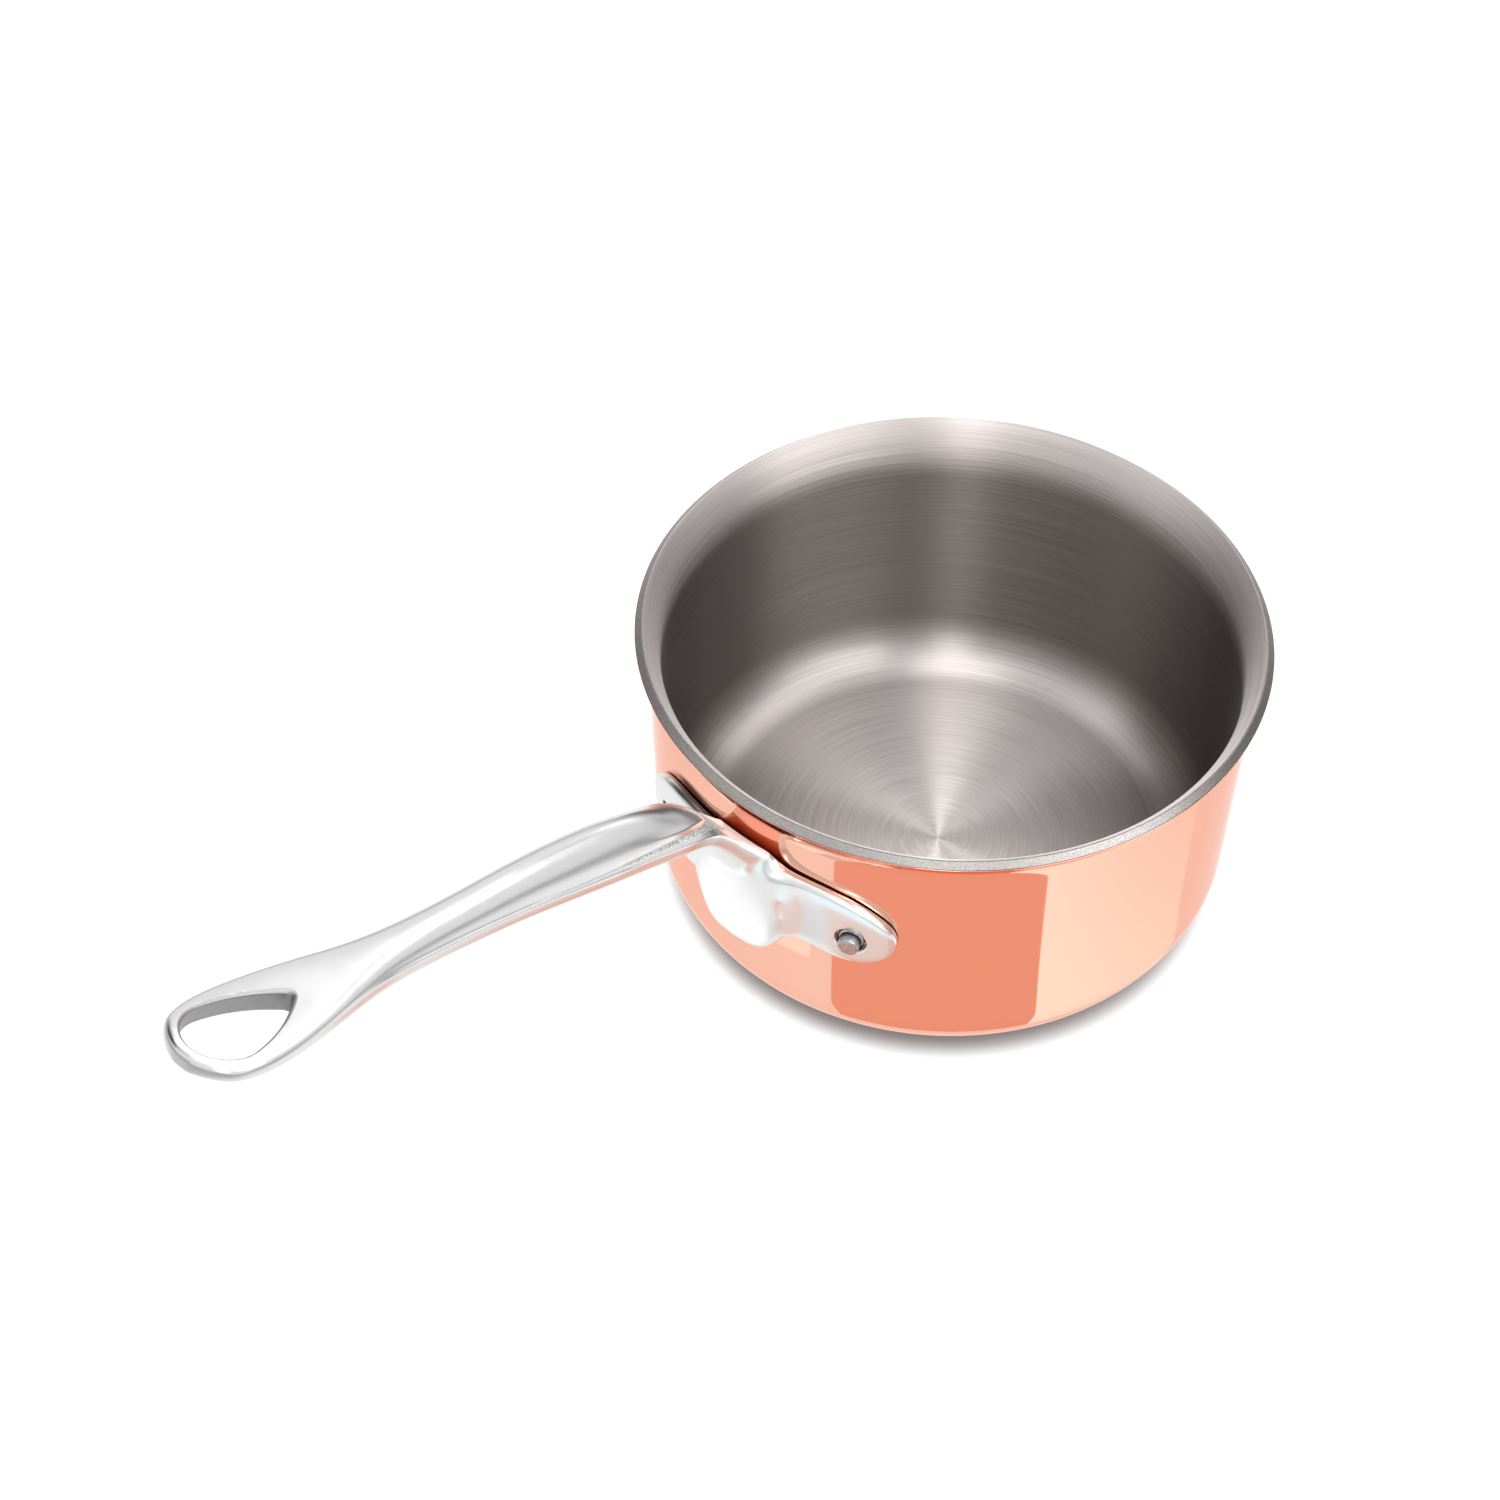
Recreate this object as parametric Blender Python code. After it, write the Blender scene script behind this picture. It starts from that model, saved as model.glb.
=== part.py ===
"""Copper saucepan: a three-ply pan with a cast steel handle riveted to its wall.

Metres, +Z up. The pan stands on z = 0 with its axis on Z, and the handle points along +X.
"""

import math

import bmesh
import bpy
from mathutils import Matrix, Vector

MM = 0.001

# Pan: outer surface of the copper, up to the outer corner of the ground rim edge
RIM_RADIUS = 76.0 * MM
RIM_HEIGHT = 75.7 * MM
LIP_RADIUS = 11.5 * MM
LIP_LEAN = math.radians(45.0)
WALL_LEAN = math.radians(2.5)
CORNER_RADIUS = 16.3 * MM
CORNER_STEPS = 5
LIP_STEPS = 4
SPIN_STEPS = 64

# Plies, from the outside in, with the gap that keeps them separate bodies
COPPER_PLY = 0.55 * MM
CORE_PLY = 1.30 * MM
LINING_PLY = 0.40 * MM
PLY_GAP = 0.25 * MM
WALL_THICKNESS = COPPER_PLY + CORE_PLY + LINING_PLY + 2.0 * PLY_GAP

# Handle: the gap between its flange and the copper, and the runs of its upper face.
# A run is a length and, where the face turns away from the pan, the radius of the turn.
SEAT_GAP = 0.30 * MM
BEND_START = 57.0 * MM
WRAP_END = 83.0 * MM
NECK_TURN = math.radians(37.5)
SHOULDER_TURN = math.radians(28.0)
BOW_TURN = math.radians(2.0)
BAR_TURN = math.radians(2.5)
TAIL_TURN = math.radians(1.6)
NECK_RADIUS = 14.0 * MM
SHOULDER_RADIUS = 35.0 * MM
BOW_RADIUS = 1200.0 * MM
BAR_RADIUS = 300.0 * MM
TAIL_RADIUS = 800.0 * MM
HANDLE_RUNS = (
    (BEND_START, None),
    (NECK_RADIUS * NECK_TURN, NECK_RADIUS),
    (17.5 * MM, None),
    (SHOULDER_RADIUS * SHOULDER_TURN, SHOULDER_RADIUS),
    (BOW_RADIUS * BOW_TURN, BOW_RADIUS),
    (2.0 * MM, None),
    (BAR_RADIUS * BAR_TURN, BAR_RADIUS),
    (14.0 * MM, None),
    (TAIL_RADIUS * TAIL_TURN, TAIL_RADIUS),
    (120.0 * MM, None),
)

# Handle outline and thickness, as pairs of a distance along its upper face and a value there,
# both in millimetres. An ear column is a reach from the middle, the ear's lower and upper edge
# there, and a bulge of its end.
FLANGE_ROWS = (30.4, 34.3, 39.5, 46.0, 53.0, 59.5)
EAR_START = 39.5
BAR_ROWS = (65.0, 72.0, 76.5, 79.5, 83.5, 87.4, 89.0, 92.0, 97.0, 103.0, 112.0, 125.0, 139.0, 154.5,
            169.0, 184.0, 197.0, 208.3, 217.3, 226.3, 235.3, 242.0, 246.8, 249.0)
HALF_WIDTH = ((30.4, 6.5), (34.3, 10.6), (39.5, 13.0), (53.0, 12.0), (59.5, 9.3), (65.0, 6.6),
              (72.0, 6.4), (82.0, 6.5), (89.0, 7.0), (95.0, 7.8), (101.5, 8.2), (113.0, 7.9),
              (125.0, 7.8), (139.0, 7.4), (154.5, 6.5), (169.0, 6.0), (184.0, 5.95), (197.0, 6.6),
              (208.3, 8.8), (217.3, 10.6), (226.3, 12.0), (235.3, 12.6), (242.0, 11.3), (246.8, 8.2),
              (249.0, 4.4))
EDGE_THICKNESS = ((30.4, 5.6), (39.5, 5.4), (53.0, 4.8), (59.5, 4.0), (82.0, 3.4), (103.0, 3.7),
                  (184.0, 3.7), (208.3, 3.0), (226.3, 2.4), (248.8, 2.3))
MID_THICKNESS = ((30.4, 6.4), (39.5, 6.6), (53.0, 7.0), (59.5, 7.6), (65.0, 8.0),
                 (78.0, 7.0), (96.0, 5.0), (125.0, 4.2), (197.0, 3.7), (208.3, 3.3), (226.3, 2.9),
                 (248.8, 2.5))
CROWN_HEIGHT = ((87.4, 0.0), (89.0, 0.45), (92.0, 1.05), (97.0, 2.0), (103.0, 3.5), (112.0, 6.0),
                (125.0, 7.4), (139.0, 7.2), (154.5, 6.4), (169.0, 5.1), (184.0, 4.3), (197.0, 3.6),
                (208.3, 3.0), (217.3, 2.4), (226.3, 2.1), (248.8, 1.9))
CROWN_EDGE = ((87.4, 0.6), (97.0, 0.78), (103.0, 0.92), (112.0, 0.96), (125.0, 0.93), (150.0, 0.88))
CROWN_EDGE_RISE = ((87.4, 0.6), (97.0, 0.5), (103.0, 0.42), (112.0, 0.34), (125.0, 0.38), (150.0, 0.475))
LEDGE_HEIGHT = ((76.5, 0.0), (79.5, 0.6), (112.0, 0.6), (150.0, 0.0))
BRIM_SIDE = ((76.5, 1.0), (96.0, 1.3), (125.0, 0.8), (150.0, 0.4), (248.8, 0.35))
LEDGE_SIDE = ((87.4, 0.9), (103.0, 0.8), (125.0, 0.4), (248.8, 0.35))
EAR_COLUMNS = ((15.5, 38.4, 59.0, 0.0), (22.0, 36.2, 58.4, 0.0), (30.5, 35.4, 56.2, 0.0),
               (37.2, 40.2, 50.8, 2.2))
CROWN_NOSE = 87.4
LEDGE_NOSE = 77.0
CROWN_NOSE_LENGTH = 17.5
LEDGE_NOSE_LENGTH = 18.0
TAIL = (184.0, 212.0)
EAR_THICKNESS = 2.8
SUBDIVISIONS = 1
LAST_TOP = 10

# Hanging eye: a round end and a small tip towards the pan, along the handle's upper face
EYE_END = 237.5 * MM
EYE_RADIUS = 8.4 * MM
EYE_TIP = 219.9 * MM
EYE_TIP_RADIUS = 1.3 * MM
EYE_SIDE_RADIUS = 36.0 * MM
EYE_STEPS = 16
EYE_SIDE_STEPS = 3
EYE_TIP_STEPS = 4
EYE_DEPTH = 12.0 * MM

# Rivets, square to the wall; sizes along the axis are measured from the copper's surface
RIVET_TURN = math.radians(22.6)
RIVET_HEIGHT = 44.8 * MM
RIVET_CLEARANCE = 0.30 * MM
SHANK_RADIUS = 3.1 * MM
SHANK_END = 2.3 * MM
TIP_RADIUS = 2.2 * MM
TIP_END = 5.85 * MM
TIP_ROUND = 0.4 * MM
HEAD_RADIUS = 6.5 * MM
HEAD_SEAT = WALL_THICKNESS + 0.6 * MM
HEAD_EDGE = 0.5 * MM
HEAD_HEIGHT = 2.2 * MM
HEAD_STEPS = 4
RIVET_STEPS = 24

# Finishes: colour, roughness and metallic value
FINISHES = {
    "polished_copper": ((0.90, 0.44, 0.30), 0.10, 1.0),
    "bare_aluminium": ((0.58, 0.56, 0.55), 0.45, 1.0),
    "brushed_steel": ((0.50, 0.46, 0.44), 0.32, 1.0),
    "polished_cast_steel": ((0.80, 0.80, 0.80), 0.12, 1.0),
    "rivet_steel": ((0.55, 0.55, 0.55), 0.25, 1.0),
}


def clear_scene():
    for obj in list(bpy.data.objects):
        bpy.data.objects.remove(obj)


def finish(name):
    colour, roughness, metallic = FINISHES[name]
    material = bpy.data.materials.new(name)
    material.use_nodes = True
    shader = material.node_tree.nodes["Principled BSDF"]
    shader.inputs["Base Color"].default_value = (*colour, 1.0)
    shader.inputs["Roughness"].default_value = roughness
    shader.inputs["Metallic"].default_value = metallic
    return material


def add_object(name, bm, material):
    """A named object from a bmesh, shaded smooth with its real edges kept sharp."""
    mesh = bpy.data.meshes.new(name)
    bm.to_mesh(mesh)
    bm.free()
    mesh.materials.append(material)
    mesh.shade_smooth()
    mesh.set_sharp_from_angle(angle=math.radians(35.0))
    obj = bpy.data.objects.new(name, mesh)
    bpy.context.collection.objects.link(obj)
    return obj


def add_cutter(name, bm):
    mesh = bpy.data.meshes.new(name)
    bm.to_mesh(mesh)
    bm.free()
    obj = bpy.data.objects.new(name, mesh)
    obj.hide_render = True
    obj.display_type = "WIRE"
    bpy.context.collection.objects.link(obj)
    return obj


def cut(obj, cutter):
    boolean = obj.modifiers.new(cutter.name, "BOOLEAN")
    boolean.operation = "DIFFERENCE"
    boolean.solver = "EXACT"
    boolean.object = cutter


def outward(lean):
    """Direction (radius, height) that faces out of a wall leaning out from the vertical."""
    return Vector((math.cos(lean), -math.sin(lean)))


def lip_centre():
    return Vector((RIM_RADIUS, RIM_HEIGHT)) + LIP_RADIUS * outward(LIP_LEAN)


def wall_point(height):
    """Point of the straight wall's outer surface, as radius and height."""
    foot = lip_centre() - LIP_RADIUS * outward(WALL_LEAN)
    return Vector((foot.x + (height - foot.y) * math.tan(WALL_LEAN), height))


def ply_path(depth):
    """The pan's profile at a depth under the copper's surface, from the axis to the rim."""
    reach = outward(WALL_LEAN).dot(wall_point(0.0)) - CORNER_RADIUS
    centre_radius = (reach + CORNER_RADIUS * math.sin(WALL_LEAN)) / math.cos(WALL_LEAN)
    centre = Vector((centre_radius, CORNER_RADIUS))
    points = [Vector((0.0, depth))]
    for step in range(CORNER_STEPS + 1):
        lean = math.pi / 2 + (WALL_LEAN - math.pi / 2) * step / CORNER_STEPS
        points.append(centre + (CORNER_RADIUS - depth) * outward(lean))
    for step in range(LIP_STEPS + 1):
        lean = WALL_LEAN + (LIP_LEAN - WALL_LEAN) * step / LIP_STEPS
        points.append(lip_centre() - (LIP_RADIUS + depth) * outward(lean))
    return points


def turned(outline, steps):
    """A closed body turned about Z from an outline of radius and height, open at the axis."""
    bm = bmesh.new()
    verts = [bm.verts.new((point.x, 0.0, point.y)) for point in outline]
    edges = [bm.edges.new(pair) for pair in zip(verts, verts[1:])]
    bmesh.ops.spin(bm, geom=verts + edges, cent=(0, 0, 0), axis=(0, 0, 1),
                   angle=2.0 * math.pi, steps=steps, use_merge=True)
    bmesh.ops.remove_doubles(bm, verts=bm.verts, dist=0.001 * MM)
    bmesh.ops.recalc_face_normals(bm, faces=bm.faces)
    return bm


def make_ply(name, depth, thickness, material, cutters):
    outline = ply_path(depth) + ply_path(depth + thickness)[::-1]
    ply = add_object(name, turned(outline, SPIN_STEPS), material)
    for cutter in cutters:
        cut(ply, cutter)
    return ply


def rivet_frame(side):
    """Placement of a rivet: local Z runs out of the wall, from the copper's surface."""
    wall = wall_point(RIVET_HEIGHT)
    tilt = Matrix.Rotation(math.pi / 2 + WALL_LEAN, 4, "Y")
    turn = Matrix.Rotation(side * RIVET_TURN, 4, "Z")
    return turn @ Matrix.Translation((wall.x, 0.0, wall.y)) @ tilt


def rivet_cutter(side, name):
    length = 24.0 * MM
    bm = bmesh.new()
    bmesh.ops.create_cone(bm, cap_ends=True, segments=RIVET_STEPS, depth=length,
                          radius1=SHANK_RADIUS + RIVET_CLEARANCE,
                          radius2=SHANK_RADIUS + RIVET_CLEARANCE)
    bmesh.ops.transform(bm, matrix=rivet_frame(side), verts=bm.verts)
    return add_cutter(name, bm)


def make_rivet(name, side, material):
    """Domed head inside the pan, shank through the wall and the ear, narrow tip outside."""
    outline = []
    for step in range(HEAD_STEPS + 1):
        turn = 0.5 * math.pi * step / HEAD_STEPS
        crown = HEAD_SEAT + HEAD_EDGE + HEAD_HEIGHT * math.cos(turn)
        outline.append(Vector((HEAD_RADIUS * math.sin(turn), -crown)))
    outline += [
        Vector((HEAD_RADIUS, -HEAD_SEAT)),
        Vector((SHANK_RADIUS, -HEAD_SEAT)),
        Vector((SHANK_RADIUS, SHANK_END)),
        Vector((TIP_RADIUS + TIP_ROUND, SHANK_END)),
        Vector((TIP_RADIUS, SHANK_END + TIP_ROUND)),
        Vector((TIP_RADIUS, TIP_END - TIP_ROUND)),
        Vector((TIP_RADIUS - TIP_ROUND, TIP_END)),
        Vector((0.0, TIP_END)),
    ]
    bm = turned(outline, RIVET_STEPS)
    bmesh.ops.transform(bm, matrix=rivet_frame(side), verts=bm.verts)
    return add_object(name, bm, material)


def at(keys, distance):
    """Value at a distance along the handle, on straight lines between the keys."""
    if distance <= keys[0][0]:
        return keys[0][1]
    for (start, first), (end, last) in zip(keys, keys[1:]):
        if distance <= end:
            return first + (last - first) * (distance - start) / (end - start)
    return keys[-1][1]


def nose_width(distance, nose, length, full):
    """Half width of a round nose that reaches its full width one nose length behind its end."""
    behind = min(max((distance - nose) / length, 0.0), 1.0)
    return full * math.sqrt(1.0 - (1.0 - behind) ** 2)


def tail_share(distance):
    """How far the section has turned from the arched bar into the flat tail with rounded edges."""
    return min(max((distance - TAIL[0]) / (TAIL[1] - TAIL[0]), 0.0), 1.0)


def section(distance):
    """One ring of the handle, laid flat: (distance, side, height above the upper face).

    The ring runs over the top from -Y to +Y and back underneath. Near the pan the top carries
    a ledge and the raised crown; on the flange the top is the plain face against the wall.
    """
    half = at(HALF_WIDTH, distance)
    edge = at(EDGE_THICKNESS, distance)
    mid = at(MID_THICKNESS, distance)
    ledge = at(LEDGE_HEIGHT, distance)
    full = half - at(BRIM_SIDE, distance)
    crown_half = nose_width(distance, CROWN_NOSE, CROWN_NOSE_LENGTH, full - at(LEDGE_SIDE, distance))
    ledge_half = max(nose_width(distance, LEDGE_NOSE, LEDGE_NOSE_LENGTH, full), 0.25 * half)
    crown = at(CROWN_HEIGHT, distance) if distance > CROWN_NOSE else 0.0
    flat = tail_share(distance)
    top = [(half, 0.0)]
    if distance < LEDGE_NOSE:
        top += [(share * half, 0.0) for share in (0.9, 0.75, 0.5, 0.25)]
    else:
        if distance <= CROWN_NOSE:
            crown_half = 1.2 if distance == CROWN_NOSE else 0.7 * ledge_half
        top.append((ledge_half, ledge + 0.35 * flat * crown))
        top.append((crown_half, ledge + 0.65 * flat * crown))
        rise = at(CROWN_EDGE_RISE, distance)
        top.append((at(CROWN_EDGE, distance) * crown_half, ledge + (rise + (0.88 - rise) * flat) * crown))
        top.append(((0.5 + 0.1 * flat) * crown_half, ledge + (0.866 + 0.134 * flat) * crown))
    under = [(half, -edge), (0.55 * half, -0.25 * edge - 0.75 * mid)]
    ring = [(-side, height) for side, height in top]
    ring.append((0.0, ledge + crown))
    ring += top[::-1] + under
    ring.append((0.0, -mid))
    ring += [(-side, height) for side, height in under[::-1]]
    return [Vector((distance, side, height)) for side, height in ring]


def extrude_to(bm, ring, places):
    """Extrude an open or closed chain of verts to new places, and give the new chain."""
    pairs = zip(ring, ring[1:] + ring[:1])
    edges = [edge for edge in (bm.edges.get(pair) for pair in pairs) if edge]
    made = bmesh.ops.extrude_edge_only(bm, edges=edges)["geom"]
    fresh = {item for item in made if isinstance(item, bmesh.types.BMVert)}
    chain = []
    for vert in ring:
        step = next(edge for edge in vert.link_edges if edge.other_vert(vert) in fresh)
        chain.append(step.other_vert(vert))
    for vert, place in zip(chain, places):
        vert.co = place
    return chain


def add_ear(bm, side, back, front):
    """Grow one ear out of the flange's edge, from its back and front verts by row."""
    rows = len(back)
    for row in range(rows - 1):
        bm.faces.remove(bm.faces.get((back[row], back[row + 1], front[row + 1], front[row])))
    loop = back + front[::-1]
    for reach, low, high, bulge in EAR_COLUMNS:
        places = []
        for row in range(rows):
            share = row / (rows - 1)
            out = reach + bulge * math.sin(math.pi * share)
            places.append(Vector((low + (high - low) * share, side * out, 0.0)))
        places += [place - Vector((0.0, 0.0, EAR_THICKNESS)) for place in places[::-1]]
        loop = extrude_to(bm, loop, places)
    back, front = loop[:rows], loop[rows:][::-1]
    for row in range(rows - 1):
        bm.faces.new((back[row], back[row + 1], front[row + 1], front[row]))


def flat_handle():
    """The handle's coarse cage, laid flat along its upper face, in millimetres."""
    bm = bmesh.new()
    rows = FLANGE_ROWS + BAR_ROWS
    places = section(rows[0])
    ring = [bm.verts.new(place) for place in places]
    for pair in zip(ring, ring[1:] + ring[:1]):
        bm.edges.new(pair)
    bm.faces.new(ring)
    rings = [ring]
    for distance in rows[1:]:
        rings.append(extrude_to(bm, rings[-1], section(distance)))
    bm.faces.new(rings[-1])
    ear_rings = rings[FLANGE_ROWS.index(EAR_START):len(FLANGE_ROWS)]
    last = LAST_TOP
    add_ear(bm, -1.0, [ring[0] for ring in ear_rings], [ring[-1] for ring in ear_rings])
    add_ear(bm, 1.0, [ring[last] for ring in ear_rings], [ring[last + 1] for ring in ear_rings])
    bmesh.ops.recalc_face_normals(bm, faces=bm.faces)
    set_creases(bm, rings)
    return bm


def set_creases(bm, rings):
    """Keep the crown's foot crisp, and the flange's rim and the brim tighter than the rest."""
    crease = bm.edges.layers.float.new("crease_edge")
    for edge in bm.edges:
        low = max(vert.co.x for vert in edge.verts) <= FLANGE_ROWS[-1]
        if low and edge.calc_face_angle(0.0) > 1.0:
            edge[crease] = 0.7 if edge.verts[0].co.z == 0.0 == edge.verts[1].co.z else 0.0
    for ring, following in zip(rings, rings[1:]):
        if CROWN_NOSE <= ring[0].co.x < 150.0:
            for column in (2, LAST_TOP - 2):
                bm.edges.get((ring[column], following[column]))[crease] = 0.8
        if CROWN_NOSE < ring[0].co.x < 110.0:
            for column in (3, LAST_TOP - 3):
                bm.edges.get((ring[column], following[column]))[crease] = 0.5
        if abs(ring[0].co.x - CROWN_NOSE) < 0.01:
            for column in range(2, LAST_TOP - 2):
                bm.edges.get((ring[column], ring[column + 1]))[crease] = 0.8
        if FLANGE_ROWS[-1] <= ring[0].co.x < 113.0:
            for column in (0, LAST_TOP):
                bm.edges.get((ring[column], following[column]))[crease] = 0.6


def handle_path(distance):
    """Place (radius, height) and lean of the handle's upper face at a distance along it."""
    place = wall_point(0.0) + SEAT_GAP * outward(WALL_LEAN)
    lean = WALL_LEAN
    left = distance
    for length, radius in HANDLE_RUNS:
        step = min(left, length)
        if radius is None:
            place = place + step * Vector((math.sin(lean), math.cos(lean)))
        else:
            end = lean + step / radius
            swing = Vector((math.cos(lean) - math.cos(end), math.sin(end) - math.sin(lean)))
            place = place + radius * swing
            lean = end
        left -= step
        if left <= 0.0:
            break
    return place, lean


def bend(flat):
    """Bend a flat point of the handle: round the pan's wall, out at the neck, along the bar."""
    distance, side, height = flat * MM
    place, lean = handle_path(distance)
    spot = place - height * outward(lean)
    fade = min(max((distance - BEND_START) / (WRAP_END - BEND_START), 0.0), 1.0)
    wrap = 1.0 - fade * fade * (3.0 - 2.0 * fade)
    around = side / place.x
    wrapped = Vector((spot.x * math.cos(around), spot.x * math.sin(around), spot.y))
    return Vector((spot.x, side, spot.y)).lerp(wrapped, wrap)


def subdivided(bm, levels):
    """A new bmesh: the cage after subdivision."""
    mesh = bpy.data.meshes.new("handle_cage")
    bm.to_mesh(mesh)
    bm.free()
    cage = bpy.data.objects.new("handle_cage", mesh)
    bpy.context.collection.objects.link(cage)
    modifier = cage.modifiers.new("Subdivision", "SUBSURF")
    modifier.levels = levels
    modifier.render_levels = levels
    evaluated = cage.evaluated_get(bpy.context.evaluated_depsgraph_get())
    fine = bmesh.new()
    fine.from_mesh(evaluated.to_mesh())
    evaluated.to_mesh_clear()
    bpy.data.objects.remove(cage)
    return fine


def arc(centre, radius, start, end, steps):
    """Points of a round stretch; angles run from the first axis towards the second."""
    points = []
    for step in range(steps + 1):
        turn = start + (end - start) * step / steps
        points.append(centre + radius * Vector((math.cos(turn), math.sin(turn))))
    return points


def teardrop():
    """Outline of the hanging eye: a round end and a small tip, joined by bulging sides that
    meet both without a corner."""
    to_end = EYE_SIDE_RADIUS - EYE_RADIUS
    to_tip = EYE_SIDE_RADIUS - EYE_TIP_RADIUS
    apart = EYE_END - EYE_TIP
    shift = (apart ** 2 + to_end ** 2 - to_tip ** 2) / (2.0 * apart)
    drop = math.sqrt(to_end ** 2 - shift ** 2)
    end_turn = math.atan2(drop, shift)
    tip_turn = math.atan2(drop, shift - apart)
    near, far = Vector((EYE_END - shift, drop)), Vector((EYE_END - shift, -drop))
    points = arc(Vector((EYE_END, 0.0)), EYE_RADIUS, end_turn, -end_turn, EYE_STEPS)
    points += arc(near, EYE_SIDE_RADIUS, -end_turn, -tip_turn, EYE_SIDE_STEPS)[1:-1]
    points += arc(Vector((EYE_TIP, 0.0)), EYE_TIP_RADIUS, -tip_turn, tip_turn - 2.0 * math.pi,
                  EYE_TIP_STEPS)
    points += arc(far, EYE_SIDE_RADIUS, tip_turn, end_turn, EYE_SIDE_STEPS)[1:-1]
    return points


def eye_cutter():
    """Teardrop prism through the tail, bent with it."""
    bm = bmesh.new()
    face = bm.faces.new([bm.verts.new((point.x, point.y, -EYE_DEPTH)) for point in teardrop()])
    made = bmesh.ops.extrude_face_region(bm, geom=[face])["geom"]
    top = [item for item in made if isinstance(item, bmesh.types.BMVert)]
    bmesh.ops.translate(bm, vec=(0, 0, 2.0 * EYE_DEPTH), verts=top)
    bmesh.ops.recalc_face_normals(bm, faces=bm.faces)
    for vert in bm.verts:
        vert.co = bend(vert.co / MM)
    return add_cutter("eye_cutter", bm)


def make_handle(material, cutters):
    bm = subdivided(flat_handle(), SUBDIVISIONS)
    for vert in bm.verts:
        vert.co = bend(vert.co)
    bmesh.ops.recalc_face_normals(bm, faces=bm.faces)
    handle = add_object("handle", bm, material)
    for cutter in cutters:
        cut(handle, cutter)
    return handle


def main():
    clear_scene()
    rivet_holes = [rivet_cutter(-1.0, "rivet_left_cutter"), rivet_cutter(1.0, "rivet_right_cutter")]
    core_depth = COPPER_PLY + PLY_GAP
    lining_depth = core_depth + CORE_PLY + PLY_GAP
    make_ply("copper_shell", 0.0, COPPER_PLY, finish("polished_copper"), rivet_holes)
    make_ply("aluminium_core", core_depth, CORE_PLY, finish("bare_aluminium"), rivet_holes)
    make_ply("steel_lining", lining_depth, LINING_PLY, finish("brushed_steel"), rivet_holes)
    make_handle(finish("polished_cast_steel"), rivet_holes + [eye_cutter()])
    rivet_steel = finish("rivet_steel")
    make_rivet("rivet_left", -1.0, rivet_steel)
    make_rivet("rivet_right", 1.0, rivet_steel)


main()
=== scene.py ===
"""Copper saucepan: fine surfaces, finishes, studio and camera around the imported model."""

import math

import bmesh
import bpy
from bpy.props import FloatProperty, FloatVectorProperty, IntProperty, PointerProperty
from bpy.types import Operator, Panel, PropertyGroup
from mathutils import Matrix, Vector


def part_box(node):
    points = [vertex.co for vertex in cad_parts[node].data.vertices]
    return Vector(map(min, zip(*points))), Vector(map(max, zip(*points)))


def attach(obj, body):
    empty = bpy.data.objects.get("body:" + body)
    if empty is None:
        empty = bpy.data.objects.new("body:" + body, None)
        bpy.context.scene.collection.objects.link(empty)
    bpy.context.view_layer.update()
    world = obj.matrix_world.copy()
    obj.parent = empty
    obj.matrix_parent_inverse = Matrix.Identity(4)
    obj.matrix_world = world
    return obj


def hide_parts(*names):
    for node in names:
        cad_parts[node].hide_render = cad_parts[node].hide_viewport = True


bl_info = {
    "name": "Copper Saucepan",
    "version": (1, 0, 0),
    "blender": (4, 5, 0),
    "location": "3D View > Sidebar > Saucepan",
    "description": "Models the fine surfaces of a riveted copper saucepan in a white studio",
    "category": "Object",
}

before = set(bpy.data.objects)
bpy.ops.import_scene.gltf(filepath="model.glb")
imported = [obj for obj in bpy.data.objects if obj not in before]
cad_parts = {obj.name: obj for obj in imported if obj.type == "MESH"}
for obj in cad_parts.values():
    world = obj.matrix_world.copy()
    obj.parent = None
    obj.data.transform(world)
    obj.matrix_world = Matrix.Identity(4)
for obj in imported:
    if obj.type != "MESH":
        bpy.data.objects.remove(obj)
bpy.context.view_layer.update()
SHELL_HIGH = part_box("copper_shell")[1]
MM = 0.001

# Handle cage, laid flat, in millimetres. Its rows lie at distances along the handle's upper face.
# A table pairs such distances with a size, or with a share of the crown's width or height.
FLANGE_ROWS = (30.4, 34.3, 39.5, 46.0, 53.0, 59.5)
EAR_START = 39.5
BAR_ROWS = (65.0, 72.0, 76.5, 79.5, 83.5, 87.4, 89.0, 92.0, 97.0, 103.0, 112.0, 125.0, 139.0, 154.5,
            169.0, 184.0, 197.0, 208.3, 217.3, 226.3, 235.3, 242.0, 244.6, 246.6, 247.7, 248.2,
            248.4)
HALF_WIDTH = ((30.4, 6.5), (34.3, 10.6), (39.5, 13.0), (53.0, 12.0), (59.5, 9.3), (65.0, 6.6),
              (72.0, 6.4), (82.0, 6.5), (89.0, 7.0), (95.0, 7.8), (101.5, 8.2), (113.0, 7.9),
              (125.0, 7.8), (139.0, 7.4), (154.5, 6.5), (169.0, 6.0), (184.0, 5.95), (197.0, 6.6),
              (208.3, 8.8), (217.3, 10.6), (226.3, 12.0), (235.3, 12.6), (242.0, 11.4),
              (244.6, 9.4), (246.6, 6.9), (247.7, 4.6), (248.2, 3.0), (248.4, 1.6))
EDGE_THICKNESS = ((30.4, 5.6), (39.5, 5.4), (53.0, 4.8), (59.5, 4.0), (82.0, 3.4), (103.0, 3.7),
                  (184.0, 3.7), (208.3, 3.0), (226.3, 2.4), (248.8, 2.3))
MID_THICKNESS = ((30.4, 6.4), (39.5, 6.6), (53.0, 7.0), (59.5, 7.6), (65.0, 8.0),
                 (78.0, 7.0), (96.0, 5.0), (125.0, 4.2), (197.0, 3.7), (208.3, 3.3), (226.3, 2.9),
                 (248.8, 2.5))
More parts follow.
